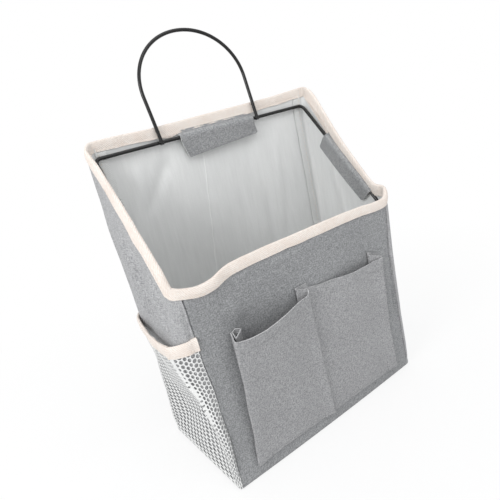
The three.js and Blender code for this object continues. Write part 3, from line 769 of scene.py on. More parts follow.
def make_bag():
    k = np.concatenate([start + spaced_places(run) for start, run in zip(STARTS, RUNS)] + [[ROUND]])
    bag = cloth_grid("bag_shell", *bag_points(k), grey_cloth, side_cloth_painted_light, pale_lining, pale_lining)
    mesh = bag.data
    heights = read_all(mesh.polygons, "center", 3)[:, 2] / MM
    places = read_all(mesh.uv_layers[0].data, "uv", 2)[:, 0] / MM
    # Faces on the sides take the lighter copy of the grey cloth, painted light for the lit side walls
    for polygon in mesh.polygons:
        place = places[polygon.loop_start : polygon.loop_start + polygon.loop_total].mean()
        side = SEAMS[1] < place < SEAMS[2] or place > SEAMS[3] or place < SEAMS[0]
        polygon.material_index = 1 if side and heights[polygon.index] > 1 else 0
    merge_close(bag, 0.02)
    give_thickness(bag, CLOTH, -1.0, inside=2, rim=2)
    settle(bag, "bag", "grey_cloth", "front_panel", "back_panel", "left_side_panel", "right_side_panel",
           "bottom_panel")


# Stitches: one is modelled and copied along a line. Length of one, gap to the next, and thickness
STITCH = 2.3
STITCH_GAP = 1.1
THIN_THREAD = 0.4


def stitch_mesh(thick):
    choose()
    bpy.ops.mesh.primitive_uv_sphere_add(segments=6, ring_count=5, radius=0.5)
    stitch = bpy.context.object
    edit_all(bpy.ops.transform.resize, value=(STITCH, thick, thick * 0.8))
    points = read_all(stitch.data.vertices, "co", 3)
    faces = [tuple(p.vertices) for p in stitch.data.polygons]
    bpy.data.objects.remove(stitch)
    return points, faces


def point_at(at, run, points):
    return np.array([np.interp(at, run, column) for column in points.T])


def sewn_line(name, lines, body, material, slot, thick=0.5):
    """Stitches along each line of (points, outward directions), in millimetres."""
    shape, faces = stitch_mesh(thick)
    all_points, all_faces = [], []
    for points, normals in lines:
        run = run_along(points)
        count = int(run[-1] // (STITCH + STITCH_GAP))
        for i in range(count):
            at = (i + 0.5) * run[-1] / count
            first, last = (point_at(v, run, points) for v in (at - STITCH / 2, at + STITCH / 2))
            out = point_at(at, run, normals)
            ahead = last - first
            ahead /= np.linalg.norm(ahead)
            out -= ahead * (out @ ahead)
            out /= np.linalg.norm(out)
            turn = np.stack([ahead, np.cross(out, ahead), out])
            base = len(all_points)
            all_points.extend(((first + last) / 2 + shape @ turn) * MM)
            all_faces.extend(tuple(base + v for v in face) for face in faces)
    settle(mesh_piece(name, all_points, all_faces, material), body, slot)


def mesh_piece(name, points, faces, material, degrees=50):
    mesh = bpy.data.meshes.new(name)
    mesh.from_pydata([tuple(p) for p in points], [], faces)
    mesh.materials.append(material)
    piece = bpy.data.objects.new(name, mesh)
    bpy.context.collection.objects.link(piece)
    smooth_faces(piece, degrees)
    return piece


# Binding tape round the mouth
def below_mouth(k, drop, stand):
    """Points at a drop below the edge of the mouth, square to it, and a stand off the cloth's outer face."""
    slope = (mouth_height(k + 1.5) - mouth_height(k - 1.5)) / 3
    long = np.sqrt(1 + slope**2)
    return wall_point(k + drop * slope / long, mouth_height(k) - drop / long, stand)


# Where the tape's middle lies outside and inside, and how far its stitches are from the edge there
TAPE_STAND = 0.46
TAPE_IN_STAND = -CLOTH - 0.62
TAPE_SEAM = 4.9
TAPE_IN_SEAM = 5.9


def inside_band(k):
    """How much wider than elsewhere the tape lies on the inside: on the right and beside the back flap."""
    return 1 + 0.42 * hump(k, 236, 48) + 0.25 * hump(k, 427, 10)


def tape_side(wide, stand, swell, seam, dent):
    """(drop, stand) down one side of the tape, which swells a little and is drawn in at its stitches."""
    points = []
    for share in np.linspace(0, 1, 9):
        drop = wide * share
        puff = swell * math.sin(math.pi * min(share * 1.2, 1)) - dent * hump(drop, seam, 0.8)
        points.append((drop, stand + puff))
    return points


def tape_section():
    """The tape's section, from its outer edge over the fold to its inner edge."""
    middle = (TAPE_STAND + TAPE_IN_STAND) / 2
    radius = (TAPE_STAND - TAPE_IN_STAND) / 2
    turns = np.linspace(0, math.pi, 9)[1:-1]
    outer = tape_side(TAPE_BAND, TAPE_STAND, 0.35, TAPE_SEAM, 0.2)[::-1]
    fold = [(-radius * 0.9 * math.sin(a), middle + radius * math.cos(a)) for a in turns]
    return np.array(outer + fold + tape_side(TAPE_INSIDE, TAPE_IN_STAND, -0.2, TAPE_IN_SEAM, -0.15))


def tape_waver(k):
    return 0.35 * uneven(k, 0 * k, 45, 10, 21) + 0.2 * uneven(k, 0 * k + 5, 120, 10, 22)


def make_mouth_tape():
    k = np.concatenate([np.arange(0, ROUND - 1, 2.0), [ROUND]])
    section = tape_section()
    rows, lays = [], []
    for (drop, stand), run in zip(section, run_along(section)):
        waver = tape_waver(k) * drop / TAPE_BAND
        puff = 0.18 * uneven(k, 0 * k + run, 80, 8, 23)
        if stand < -1:
            waver = waver + drop * (inside_band(k) - 1)
            puff = -puff
        rows.append(below_mouth(k, drop + waver, stand + puff)[0])
        lays.append(lay_row(k, run))
    tape = sewn_sheet("mouth_binding_tape", rows, lays, TAPE, "bag", "cream_tape", "rim_binding", cream_tape,
                      closed=True)
    ring = np.concatenate([np.arange(0, ROUND, 2.0), [ROUND]])
    waver = tape_waver(ring) * 0.8
    outer = below_mouth(ring, TAPE_SEAM + waver, TAPE_STAND + TAPE / 2 + 0.02)
    inner, out = below_mouth(ring, TAPE_IN_SEAM * inside_band(ring) + waver, TAPE_IN_STAND - TAPE / 2 - 0.02)
    sewn_line("mouth_tape_stitches", [outer, (inner, -out)], "bag", cream_thread, "cream_tape")


# Front pockets: one cloth, pleated at the ends of the pockets and sewn down between them

# How far the cloth of each pocket stands out along its mouth, and how far its mouth rises
LEFT_MOUTH = [(-76, 14.0), (-71.4, 14.9), (-63, 16.8), (-53, 17.2), (-42.6, 15.6), (-29.3, 12.4),
              (-19.8, 9.3), (-8.9, 5.9), (-0.6, 3.6)]
LEFT_RISE = [(-76, -0.8), (-66, -1.8), (-50, -2.4), (-32, -1.6), (-12, -0.4), (-4, 0.6), (0, 1.0)]
RIGHT_MOUTH = [(0.4, 0.7), (10, 0.9), (21, 1.2), (35, 3.9), (46, 5.3), (60, 5.2), (68, 4.6), (76, 4.4)]
RIGHT_RISE = [(0.4, 4.2), (5, 3.2), (12, 2.0), (21, 1.2), (35, 0.2), (60, -0.3), (76, 0.2)]

# Folds of the pocket cloth from the left seam to the right one: place and stand at the bottom, then
# place, stand and rise at the mouth
LEFT_PLEAT = [
    ((-73.6, 0.65), (-66.5, 0.65, -0.6)), ((-69.5, 0.65), (-63.2, 0.9, 0.9)),
    ((-64.2, 0.65), (-60.6, 3.3, -0.1)), ((-64.2, 1.57), (-61.0, 4.5, -0.2)),
    ((-70.0, 1.57), (-69.2, 11.2, -0.3)), ((-70.6, 1.57), (-66.9, 1.9, -0.4)),
    ((-71.2, 1.57), (-67.9, 2.0, -0.5)), ((-75.9, 1.9), (-71.8, 13.4, -0.8)),
    ((-76.1, 2.8), (-71.3, 14.4, -0.8)),
]
MIDDLE_PLEAT = [
    ((-0.9, 2.9), (-2.2, 5.2, 2.6)), ((-0.9, 1.8), (-1.4, 4.1, 5.0)), ((-9.6, 1.7), (-9.9, 2.2, 6.8)),
    ((-9.6, 0.65), (-9.9, 0.8, 7.4)), ((0.3, 0.65), (0.5, 0.65, 7.8)), ((0.9, 0.65), (1.2, 0.7, 4.4)),
]
RIGHT_PLEAT = [
    ((75.0, 2.6), (75.2, 6.0, 0.3)), ((75.0, 1.6), (74.6, 4.9, 1.8)), ((65.6, 1.6), (64.8, 2.8, 5.6)),
    ((65.6, 0.65), (64.6, 0.9, 8.0)), ((76.2, 0.65), (76.4, 0.65, 2.2)),
]


def leg(start, end, count):
    """Points between two ends of a straight stretch of cloth."""
    start, end = np.array(start), np.array(end)
    return [tuple(start + (end - start) * t) for t in np.linspace(0, 1, count + 2)[1:-1]]


def folded(stops):
    """A line through its stops, with a small round bend at each but the two ends."""
    stops = np.array(stops, float)
    line = [tuple(stops[0])]
    for before, at, after in zip(stops, stops[1:], stops[2:]):
        ends = []
        for other in (before, after):
            way = other - at
            ends.append(at + way * min(0.6 / max(math.hypot(way[0], way[1]), 1e-6), 0.45))
        shares = np.linspace(0, 1, 5)
        bend = [tuple((1 - t) ** 2 * ends[0] + 2 * t * (1 - t) * at + t * t * ends[1]) for t in shares]
        line += leg(line[-1], bend[0], 3) + bend
    return line + leg(line[-1], stops[-1], 3) + [tuple(stops[-1])]


def pleat_at(pleat, wide):
    return [
        (low[0] + (high[0] - low[0]) * wide, low[1] + (high[1] - low[1]) * wide, high[2])
        for low, high in pleat
    ]


def pocket_face(first, last, mouth, rises, wide, count):
    """The front of one pocket, between the folds at its two ends."""
    x = np.linspace(first[0] + 1.6, last[0] - 1.6, count)
    stand = POCKET_REST * (1 - wide) + through(mouth, x) * wide
    ends = POCKET_REST * (1 - wide) + through(mouth, [first[0], last[0]]) * wide
    stand = stand + (first[1] - ends[0]) * (1 - ease((x - first[0]) / 14))
    stand = stand + (last[1] - ends[1]) * ease((x - last[0] + 10) / 9)
    return list(zip(x, stand, through(rises, x)))


def pocket_line(level):
    """x, stand and rise of the pocket cloth, at a level from 0, the bottom, to 1, the mouth."""
    wide = level**1.15
    left, middle, right = (pleat_at(pleat, wide) for pleat in (LEFT_PLEAT, MIDDLE_PLEAT, RIGHT_PLEAT))
    face_1 = pocket_face(left[-1], middle[0], LEFT_MOUTH, LEFT_RISE, wide, 34)
    face_2 = pocket_face(middle[-1], right[0], RIGHT_MOUTH, RIGHT_RISE, wide, 36)
    line = folded(left + face_1[:1]) + face_1[1:-1]
    line += folded(face_1[-1:] + middle + face_2[:1]) + face_2[1:-1]
    line += folded(face_2[-1:] + right)
    return np.array(line)


def pocket_place(x, stand, z):
    return wall_point(np.asarray(x, float) - LEFT, z, np.asarray(stand, float))


def pocket_height(level, rise):
    return POCKET_BOTTOM + (POCKET_TOP + rise * level**3 - POCKET_BOTTOM) * level


def make_pocket():
    levels = [0, 0.008, 0.02, 0.04, *np.linspace(0.07, 0.9, 30), 0.915, 0.925, 0.95, 0.975, 0.99, 1.0]
    run = run_along(pocket_line(1.0)[:, :2])
    rows, lays = [], []
    for level in levels:
        x, stand, rise = pocket_line(level).T
        z = pocket_height(level, rise)
        loose = uneven(x + 300, z, 26, 30, 31, 600) * 0.55 + uneven(x + 300, z, 60, 13, 32, 600) * 0.14
        stand = stand + loose * math.sin(math.pi * min(level * 0.75, 0.5)) * ease((stand - 1.3) / 2.5)
        # Above the hem's stitches the cloth is double
        stand = stand + 0.28 * (level > 0.918) * np.sign(np.gradient(x))
        rows.append(pocket_place(x, stand, z)[0])
        lays.append(lay_row(run, z))
    # Its cut edges take the lighter copy of its cloth: a painted highlight along the hems
    pocket = sewn_sheet("front_pocket_cloth", rows, lays, POCKET_CLOTH, "bag", "grey_cloth", "front_pocket",
                        pocket_cloth, hem_cloth_painted_highlight, rim=1)


def pocket_face_line(level, x0, x1, out=0.5):
    """A line along the front of the pocket cloth at one level."""
    line = pocket_line(level)
    keep = []
    for i in range(1, len(line) - 1):
        place, stand = line[i, :2]
        outermost = stand >= line[np.abs(line[:, 0] - place) < 1.5, 1].max() - 0.7
        if line[i + 1, 0] > place + 0.3 and x0 <= place <= x1 and outermost:
            keep.append(i)
    x, stand = line[keep, 0], line[keep, 1] + out
    return pocket_place(x, stand, pocket_height(level, line[keep, 2]))


def make_pocket_stitches():
    lines = [pocket_face_line(HEM_LEVEL, -72, -2, 0.62), pocket_face_line(HEM_LEVEL, 3, 74, 0.62)]
    lines += [pocket_face_line(FOOT_LEVEL, -75, -1), pocket_face_line(FOOT_LEVEL, 0.5, 75)]
    z = np.linspace(POCKET_BOTTOM + 1, POCKET_TOP - 1, 60)
    lines.append(pocket_place(np.full_like(z, 1.1), np.full_like(z, 1.08), z))
    lines.append(pocket_place(-73.0 + 6.7 * (z - POCKET_BOTTOM) / 108, np.full_like(z, 1.1), z))
    sewn_line("front_pocket_stitches", lines, "bag", grey_thread, "grey_cloth", thick=THIN_THREAD)
    # The box of stitches that holds the front flap
    sides = ((-57, -57, 153.5, 148.2, 6), (-57, 54, 147.4, 146.0, 50), (55.5, 60.0, 146.6, 154.0, 8))
    x = np.concatenate([np.linspace(x0, x1, count) for x0, x1, z0, z1, count in sides])
    z = np.concatenate([np.linspace(z0, z1, count) for x0, x1, z0, z1, count in sides])
    sewn_line("front_flap_seam_stitches", [pocket_place(x, np.full_like(x, 0.12), z)], "bag", grey_thread,
              "grey_cloth", thick=THIN_THREAD)


# Net pockets at the sides
NET_STANDS = [
    (0, [(-9, 0.7), (101, 0.7)]),
    (20, [(-9, 0.7), (30, 1.1), (60, 1.3), (85, 1.1), (101, 0.7)]),
    (50, [(-9, 0.7), (5, 1.0), (30, 1.5), (58, 1.2), (74, 1.6), (86, 2.2), (92, 1.4), (101, 0.7)]),
    (82, [(-9, 0.7), (3, 1.0), (10, 2.4), (30, 5.0), (50, 5.4), (72, 4.6), (84, 1.9), (90, 1.0), (101, 0.7)]),
    (108, [(-9, 0.7), (3, 0.9), (10, 2.2), (30, 5.0), (50, 5.6), (70, 4.6), (79, 3.0), (86, 1.5), (92, 1.0),
           (101, 0.8)]),
    (126, [(-9, 0.8), (3, 1.0), (10, 2.4), (30, 5.4), (55, 6.6), (70, 5.4), (80, 3.2), (86, 1.7), (93, 1.0),
           (101, 0.8)]),
]


def net_crest(z):
    """Where the net folds over itself, from its binding down towards the front seam."""
    return through([(40, 90.5), (50, 89), (68, 86), (82, 84), (94, 80.6), (108, 79)], z)


def net_stand(a, z):
    """How far the net stands off the wall. a runs from the back corner (0) to the front one (92)."""
    a, z = np.broadcast_arrays(np.asarray(a, float), np.asarray(z, float))
    heights = [height for height, knots in NET_STANDS]
    stands = np.array([through(knots, a) for height, knots in NET_STANDS])
    place = np.clip(np.interp(z, heights, range(len(heights))), 0, len(heights) - 1.001)
    below = np.floor(place).astype(int)
    share = ease(place - below)
    low = np.take_along_axis(stands, below[None], 0)[0]
    high = np.take_along_axis(stands, below[None] + 1, 0)[0]
    pinch = 1.7 * hump(a, net_crest(z), 1.6) * ease((z - 46) / 18)
    loose = 0.4 * uneven(a + 60, z, 9, 26, 41, 240) * ease(np.minimum(a + 6, 98 - a) / 16) * ease(z / 12)
    return low + (high - low) * share + pinch + np.maximum(loose, -0.25)


# The right net's front end is drawn in to its corner, and the left one runs on to the seam on the front
DRAWN_FROM = 60
DRAWN_SHARE = 0.58


def net_place(side, a, z, off=0.0):
    drawn = np.where(a > DRAWN_FROM, DRAWN_FROM + (a - DRAWN_FROM) * DRAWN_SHARE, a)
    k = 2 * WIDE + DEEP + a if side < 0 else WIDE + DEEP - drawn
    return wall_point(k, z, net_stand(a, z) + off)


# Low and high edge of the net, its two sides, and where its stretched part starts and how far it is stretched
NET_LOW, NET_NECK = 1.6, 110.5
NET_A0, NET_A1 = -7.5, 100.4
NET_BEND, NET_STRETCH = 82.0, 1.7

# How far the gaps close at the net's fold and along its lower edge
CLOSED_AT_FOLD, CLOSED_AT_FOOT = 0.56, 0.45

# Outline of a six-sided gap, in half widths and half heights, and its width for a height of 1
GAP_RING = [(1.333, 0), (1, 0.5), (0.667, 1), (0, 1), (-0.667, 1), (-1, 0.5),
            (-1.333, 0), (-1, -0.5), (-0.667, -1), (0, -1), (0.667, -1), (1, -0.5)]
GAP_WIDE = 0.866


def net_across(run):
    """Place along the wall of a point of the flat net, from its run back from the front seam.
    The net is slack in front of its fold and stretched behind it."""
    past = run - (NET_A1 - NET_BEND)
    return NET_A1 - run - (NET_STRETCH - 1) * (past + np.sqrt(past**2 + 6)) / 2


NET_RUNS = np.linspace(0, 120, 1200)
NET_FLAT_WIDE = float(np.interp(-NET_A0, -net_across(NET_RUNS), NET_RUNS))


def net_top(a):
    knots = [(-9, 121.5), (0, 120.5), (25, 118.6), (55, 117.8), (78, 119.5), (92, 123.0), (102, 124.8)]
    return through(knots, a)


def net_plan():
    """Flat net: six-sided gaps with rounded corners in upright columns half a gap apart, and a plain edge."""
    columns = int(round(NET_FLAT_WIDE / (NET_PITCH * GAP_WIDE)))
    half_wide = NET_FLAT_WIDE / columns / 2
    rows = int(round((NET_NECK - NET_LOW) / NET_PITCH))
    half_tall = (NET_NECK - NET_LOW) / rows / 2
    points, faces, known = [], [], {}

    def at(x, y):
        key = (round(x, 3), round(y, 3))
        if key not in known:
            known[key] = len(points)
            points.append(key)
        return known[key]

    for column in range(columns):
        odd = column % 2
        x = (2 * column + 1) * half_wide
        for row in range(rows - odd):
            y = NET_LOW + (2 * row + 1 + odd) * half_tall
            near_fold = float(hump(net_across(NET_FLAT_WIDE - x), net_crest(y), 4.4) * ease((y - 44) / 18))
            near_foot = float(1 - ease((y - 1.5) / 7))
            hole = NET_HOLE * (1 - CLOSED_AT_FOLD * near_fold) * (1 - CLOSED_AT_FOOT * near_foot)
            ring = [(min(max(x + half_wide * u, 0.0), NET_FLAT_WIDE), y + half_tall * v) for u, v in GAP_RING]
            outer = [at(*p) for p in ring]
            inner = []
            for px, py in ring:
                angle = math.atan2((py - y) / half_tall, (px - x) / (half_wide * 1.155))
                inner.append(at(x + hole * 0.97 * math.cos(angle), y + hole * math.sin(angle)))
            for i in range(12):
                j = (i + 1) % 12
                if outer[i] == outer[j]:
                    faces.append((inner[i], outer[i], inner[j]))
                else:
                    faces.append((inner[i], outer[i], outer[j], inner[j]))
    return np.array(points), faces


def make_net(side, word):
    flat, faces = net_plan()
    if side > 0:
        faces = [face[::-1] for face in faces]
    # Columns that end half a gap short run on up into the binding and down into the seam
    share = (flat[:, 1] - NET_LOW) / (NET_NECK - NET_LOW)
    a = net_across(NET_FLAT_WIDE - flat[:, 0])
    place = net_place(side, a, NET_LOW + share * (net_top(a) - 7.4 - NET_LOW))[0]
    net = mesh_piece(f"{word}_net_cloth", place * MM, faces, net_thread)
    give_thickness(net, NET_THREAD, degrees=60)
    settle(net, "bag", "white_net", f"{word}_net_pocket")


# The net's binding in section: drop below its top, and stand off the net
BINDING = [(9.3, 0.55), (8.6, 0.5), (7.2, 0.75), (5.5, 0.95), (3.5, 1.0), (1.5, 0.85), (0.4, 0.6),
           (-0.15, 0.25), (-0.15, -0.25), (0.4, -0.6), (1.5, -0.75), (3.5, -0.85), (5.5, -0.85),
           (7.4, -0.7), (9.0, -0.55)]


def make_net_binding(side, word):
    a = np.linspace(NET_A0 - 0.8, NET_A1 + 0.8, 70)
    top = net_top(a)
    rows, lays = [], []
    for (drop, off), run in zip(BINDING, run_along(np.array(BINDING))):
        waver = 0.4 * uneven(a + 60, 0 * a, 14, 10, 43, 240) * drop / 9
        pucker = 0.25 * uneven(a + 60, 0 * a + drop, 30, 5, 44, 240)
        place, normal = net_place(side, a, top - drop + waver)
        rows.append(place + normal * (off + pucker * np.sign(off))[:, None])
        lays.append(lay_row(a, run))
    binding = sewn_sheet(f"{word}_net_binding_tape", rows, lays, TAPE, "bag", "cream_tape",
                         f"{word}_net_binding", cream_tape, backwards=side > 0)
    place, normal = net_place(side, a, top - 7.9)
    sewn_line(f"{word}_net_stitches", [(place + normal * 1.05, normal)], "bag", cream_thread, "cream_tape",
              thick=0.42)


# Seam allowances inside, folded flat and taped: thickness, width, foot, and distance from the corner
SEAM_TAPE = 0.5
SEAM_TAPE_WIDE = 7.6
SEAM_TAPE_STARTS = 4
SEAM_ASIDE = 7.2


def make_seams():
    for name, middle, way in (
        ("front_left", SEAM_ASIDE, 1), ("front_right", WIDE - SEAM_ASIDE, -1),
        ("back_right", WIDE + DEEP + SEAM_ASIDE, 1), ("back_left", 2 * WIDE + DEEP - SEAM_ASIDE, -1),
    ):
        across = np.linspace(0, 1, 7)
        up = np.linspace(0, 1, 60)
        rows, lays = [], []
        for share in up:
            k = middle + way * (1.2 + SEAM_TAPE_WIDE * across)
            z = SEAM_TAPE_STARTS + (mouth_height(k) - TAPE_INSIDE - 0.2 - SEAM_TAPE_STARTS) * share
            lift = 0.7 * across**2 * (1 + 0.5 * uneven(k, z, 20, 26, 51)) + 0.35 * np.sin(math.pi * across)
            rows.append(wall_point(k, z, -CLOTH - 0.35 - lift)[0])
            lays.append(lay_row(8 * across, z))
        sewn_sheet(f"corner_seam_tape_{name}", rows, lays, SEAM_TAPE, "bag", "seam_tape",
                   f"corner_seam_{name}", seam_tape, backwards=way > 0)
        k = middle + way * (1.2 + SEAM_TAPE_WIDE / 4) + 0 * up
        z = SEAM_TAPE_STARTS + (mouth_height(k) - TAPE_INSIDE - 4.4) * up
        place, normal = wall_point(k, z, -CLOTH - 1.15)
        sewn_line(f"corner_seam_stitches_{name}", [(place, -normal)], "bag", cream_thread, "seam_tape",
                  thick=THIN_THREAD)


def make_floor_seams():
    for name, first, last in (
        ("front", 5, WIDE - 5), ("right", WIDE + 12, WIDE + DEEP - 12),
        ("back", WIDE + DEEP + 5, 2 * WIDE + DEEP - 5), ("left", 2 * WIDE + DEEP + 12, ROUND - 12),
    ):
        k = np.linspace(first, last, 50)
        low, normal = wall_base(k, np.full_like(k, 2.2))
        rows, lays = [], []
        for share in np.linspace(0, 1, 6):
            lift = 2.3 + 0.5 * math.sin(math.pi * share) + 0.25 * uneven(k, 0 * k + 9 * share, 60, 20, 61)
            place = low - normal * (CLOTH + 1.9 + 7.4 * share)
            place[:, 2] = lift + 1.2 * (1 - share) ** 3
            rows.append(place)
            lays.append(lay_row(k, 7.4 * share))
        sewn_sheet(f"floor_seam_tape_{name}", rows, lays, SEAM_TAPE, "bag", "seam_tape",
                   f"bottom_seam_{name}", seam_tape)


# Wires
def bent_wire(name, points, closed):
    curve = bpy.data.curves.new(name, "CURVE")
    curve.dimensions = "3D"
    curve.bevel_depth = WIRE / 2 * MM
    curve.bevel_resolution = 5
    curve.use_fill_caps = True
    spline = curve.splines.new("POLY")
    spline.points.add(len(points) - 1)
    for point, place in zip(spline.points, points):
        point.co = (*[v * MM for v in place], 1)
    spline.use_cyclic_u = closed
    wire = bpy.data.objects.new(name, curve)
    bpy.context.collection.objects.link(wire)
    choose(wire)
    bpy.ops.object.convert(target="MESH")
    wire = bpy.context.object
    wire.data.materials.clear()
    wire.data.materials.append(wire_coat)
    smooth_faces(wire, 45)
    return wire


frame_low, frame_high = solid_box("frame_wire")
BAR_X = frame_high[0] - WIRE / 2
BAR_FRONT = np.array([frame_low[1], frame_low[2]]) + WIRE / 2
BAR_BACK = np.array([frame_high[1], frame_high[2]]) - WIRE / 2


def make_frame_wire():
    slope = math.hypot(*(BAR_BACK - BAR_FRONT))
    points = []
    for sx, sy, quarter in ((1, 1, 0), (-1, 1, 1), (-1, -1, 2), (1, -1, 3)):
        for i in range(13):
            angle = (quarter + i / 12) * math.pi / 2
            x = sx * (BAR_X - WIRE_CORNER) + WIRE_CORNER * math.cos(angle)
            t = sy * (slope / 2 - WIRE_CORNER) + WIRE_CORNER * math.sin(angle)
            points.append((x, *(BAR_FRONT + (BAR_BACK - BAR_FRONT) * (t / slope + 0.5))))
    settle(bent_wire("mouth_frame_wire", points, True), "bag", "black_wire", "frame_wire")


def cubic(a, b, c, d, t):
    return (1 - t) ** 3 * a + 3 * (1 - t) ** 2 * t * b + 3 * (1 - t) * t**2 * c + t**3 * d


def make_arch():
    """The hanger: two legs and a bow, its feet welded to the back bar inside the bag."""
    foot, shoulder = np.array([-ARCH_FOOT, 0.0]), np.array(ARCH_SHOULDER)
    level, top = np.array(ARCH_BOW), np.array([0.0, ARCH_BOW[1]])
    up = (shoulder - foot) / np.linalg.norm(shoulder - foot)
    end = foot - up * ARCH_PAST
    half = [end + (shoulder - end) * t for t in np.linspace(0, 1, 12)[:-1]]
    half += [cubic(shoulder, shoulder + up * ARCH_RUN_ON, level, top, t) for t in np.linspace(0, 1, 40)]
    x, rise = np.vstack([half, (np.array(half) * [-1, 1])[-2::-1]]).T
    y = BAR_BACK[0] - WIRE - ARCH_GAP + rise * math.sin(ARCH_LEAN)
    z = BAR_BACK[1] + rise * math.cos(ARCH_LEAN)
    arch = bent_wire("hanger_arch_wire", np.column_stack([x, y, z]), False)
    beads = []
    for side in (-1, 1):
        choose()
        bpy.ops.mesh.primitive_uv_sphere_add(segments=20, ring_count=12, radius=0.5)
        bead = bpy.context.object
        edit_all(bpy.ops.transform.resize, value=[v * MM for v in WELD])
        weld = (side * ARCH_FOOT * MM, (BAR_BACK[0] - WELD_IN) * MM, BAR_BACK[1] * MM)
        edit_all(bpy.ops.transform.translate, value=weld)
        bead.data.materials.append(wire_coat)
        beads.append(bead)
    choose(*beads, arch)
    bpy.ops.object.join()
    smooth_faces(arch, 45)
    settle(arch, "bag", "black_wire", "hanger_arch")


# Flaps that close over the wire
FLAP_THICK = 1.0
FLAP_WRAP = 2.3

# How far a flap's stitches are from its edges
FLAP_SEAM = 2.0

# How far towards the front the side flaps sit, and how much of the full tail they have
SIDE_FORWARD = 8
SIDE_REACH = 0.86

# A flap's section, as (u into the bag, v up) from the wire: its part under the tape, and its tail
FLAP_HEAD = [(-2.0, 5.4), (-1.98, 5.0), (-1.92, 4.5), (-1.8, 3.9), (-1.6, 3.3), (-1.25, 2.75), (-0.85, 2.42)]
FLAP_TAIL = [(2.3, -1.2), (2.22, -2.4), (2.08, -3.6), (1.92, -4.8), (1.75, -6.0), (1.6, -7.2), (1.46, -8.4),
             (1.35, -9.6), (1.25, -10.8), (1.18, -12.0), (1.12, -13.2), (1.1, -14.2), (1.08, -14.9)]

# The strips: thickness, and lower and upper edge by height from the wire
STRIP_THICK = 0.7
STRIP_LOW, STRIP_HIGH = -12.4, -5.6


def loose_share(run):
    """How freely a flap hangs, by the distance from its sewn edge."""
    return float(ease((run - 10) / 12))


def make_flap(word, length, middle, inward, up, seed, slant=0.0, tuck=(0.6, 0.6), reach=1.0):
    """A flap with its stitches and strips. slant drops its low edge at one end, tuck draws in that edge's two
    ends, and reach shortens its tail."""
    middle, inward, up = (np.array(v, float) for v in (middle, inward, up))
    along = np.cross(inward, up)
    wrap = [(FLAP_WRAP * math.cos(a), FLAP_WRAP * math.sin(a)) for a in np.radians(np.linspace(104, 0, 11))]
    path = np.array(FLAP_HEAD + wrap + FLAP_TAIL)
    path[:, 1] = np.where(path[:, 1] < -1.2, -1.2 + (path[:, 1] + 1.2) * reach, path[:, 1])
    run = run_along(path)
    across = np.linspace(-0.5, 0.5, 45)
    a = across * length
    rows, lays = [], []
    for (u, v), q in zip(path, run):
        free = loose_share(q)
        bow = 0.4 * uneven(a + 100, 0 * a + q, 12, 9, seed) * free + 0.5 * free * np.cos(across * math.pi)
        short = ease((np.abs(across) - 0.485) / 0.015) * float(ease((q - run[-1] + 3) / 3))
        hang = (0.5 * uneven(a + 100, 0 * a, 7, 9, seed + 1) + slant * across * 2) * free
        drawn = np.where(across < 0, tuck[0], tuck[1]) * np.abs(across) * 2 * free
        place = middle + along * (a - np.sign(across) * drawn)[:, None]
        rows.append(place + inward * (u + bow)[:, None] + up * (v + short + hang)[:, None])
        lays.append(lay_row(a, q))
    # The flap's outer face takes the lighter copy of the grey cloth: painted light
    flap = cloth_grid(f"{word}_flap_cloth_painted_light", rows[::-1], lays[::-1], flap_cloth_painted_light, pale_lining)
    # The grey face looks away from the wire
    choose(flap)
    polygon = max(flap.data.polygons, key=lambda p: (np.array(p.center) / MM - middle) @ inward)
    if np.array(polygon.normal) @ inward < 0:
        edit_all(bpy.ops.mesh.flip_normals)
    give_thickness(flap, FLAP_THICK, inside=1, rim=1)
    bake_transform(flap)
    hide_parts(f"{word}_flap")

    def on_face(a, q):
        free = loose_share(q)
        u = np.interp(q, run, path[:, 0]) + 0.5 * free * math.cos(a / length * math.pi)
        v = np.interp(q, run, path[:, 1]) + slant * a / length * 2 * free
        a -= math.copysign((tuck[0] if a < 0 else tuck[1]) * abs(a) / length * 2 * free, a)
        return middle + along * a + inward * (u + FLAP_THICK / 2 + 0.12) + up * v

    # Stitches along its three free edges, on the face that shows
    low = run[-1] - FLAP_SEAM
    half = length / 2 - FLAP_SEAM
    down = np.linspace(run[-1] - 13.0 * reach, low, 10)
    points = [on_face(-half, q) for q in down]
    points += [on_face(a, low) for a in np.linspace(-half, half, 30)]
    points += [on_face(half, q) for q in down[::-1]]
    line = (np.array(points), np.tile(inward, (len(points), 1)))
    sewn_line(f"{word}_flap_stitches", [line], f"{word}_flap", grey_thread, "grey_cloth", thick=THIN_THREAD)
    # Hook strip on the back of the flap, and loop strip on the wall behind it
    for kind, material, slot, u, way, body in (
        ("hook", hook_pile, "hook_tape", -0.1, -1, f"{word}_flap"),
        ("loop", loop_pile, "loop_tape", -1.9, 1, "bag"),
    ):
        a = np.linspace(-half, half, 40)
        rows, lays = [], []
        for v in np.linspace(STRIP_LOW, STRIP_HIGH, 9):
            edge = min(v - STRIP_LOW, STRIP_HIGH - v)
            pillow = 0.12 * ease(np.minimum(half - np.abs(a), edge) / 1.2)
            inset = 0.8 * ease(1 - edge / 0.9) if edge < 0.9 else 0.0
            at = a * (1 - inset / half)
            if kind == "hook":
                free = float(ease((4.5 - v) / 14))
                drawn = np.where(a < 0, max(tuck[0], 0), max(tuck[1], 0)) * np.abs(a) / half * free
                at = at - np.sign(a) * drawn
            rows.append(middle + along * at[:, None] + inward * (u + pillow * way)[:, None] + up * v)
            lays.append(lay_row(a, v))
        sewn_sheet(f"{word}_{kind}_strip_tape", rows, lays, STRIP_THICK, body, slot, f"{word}_{kind}_strip",
                   material)


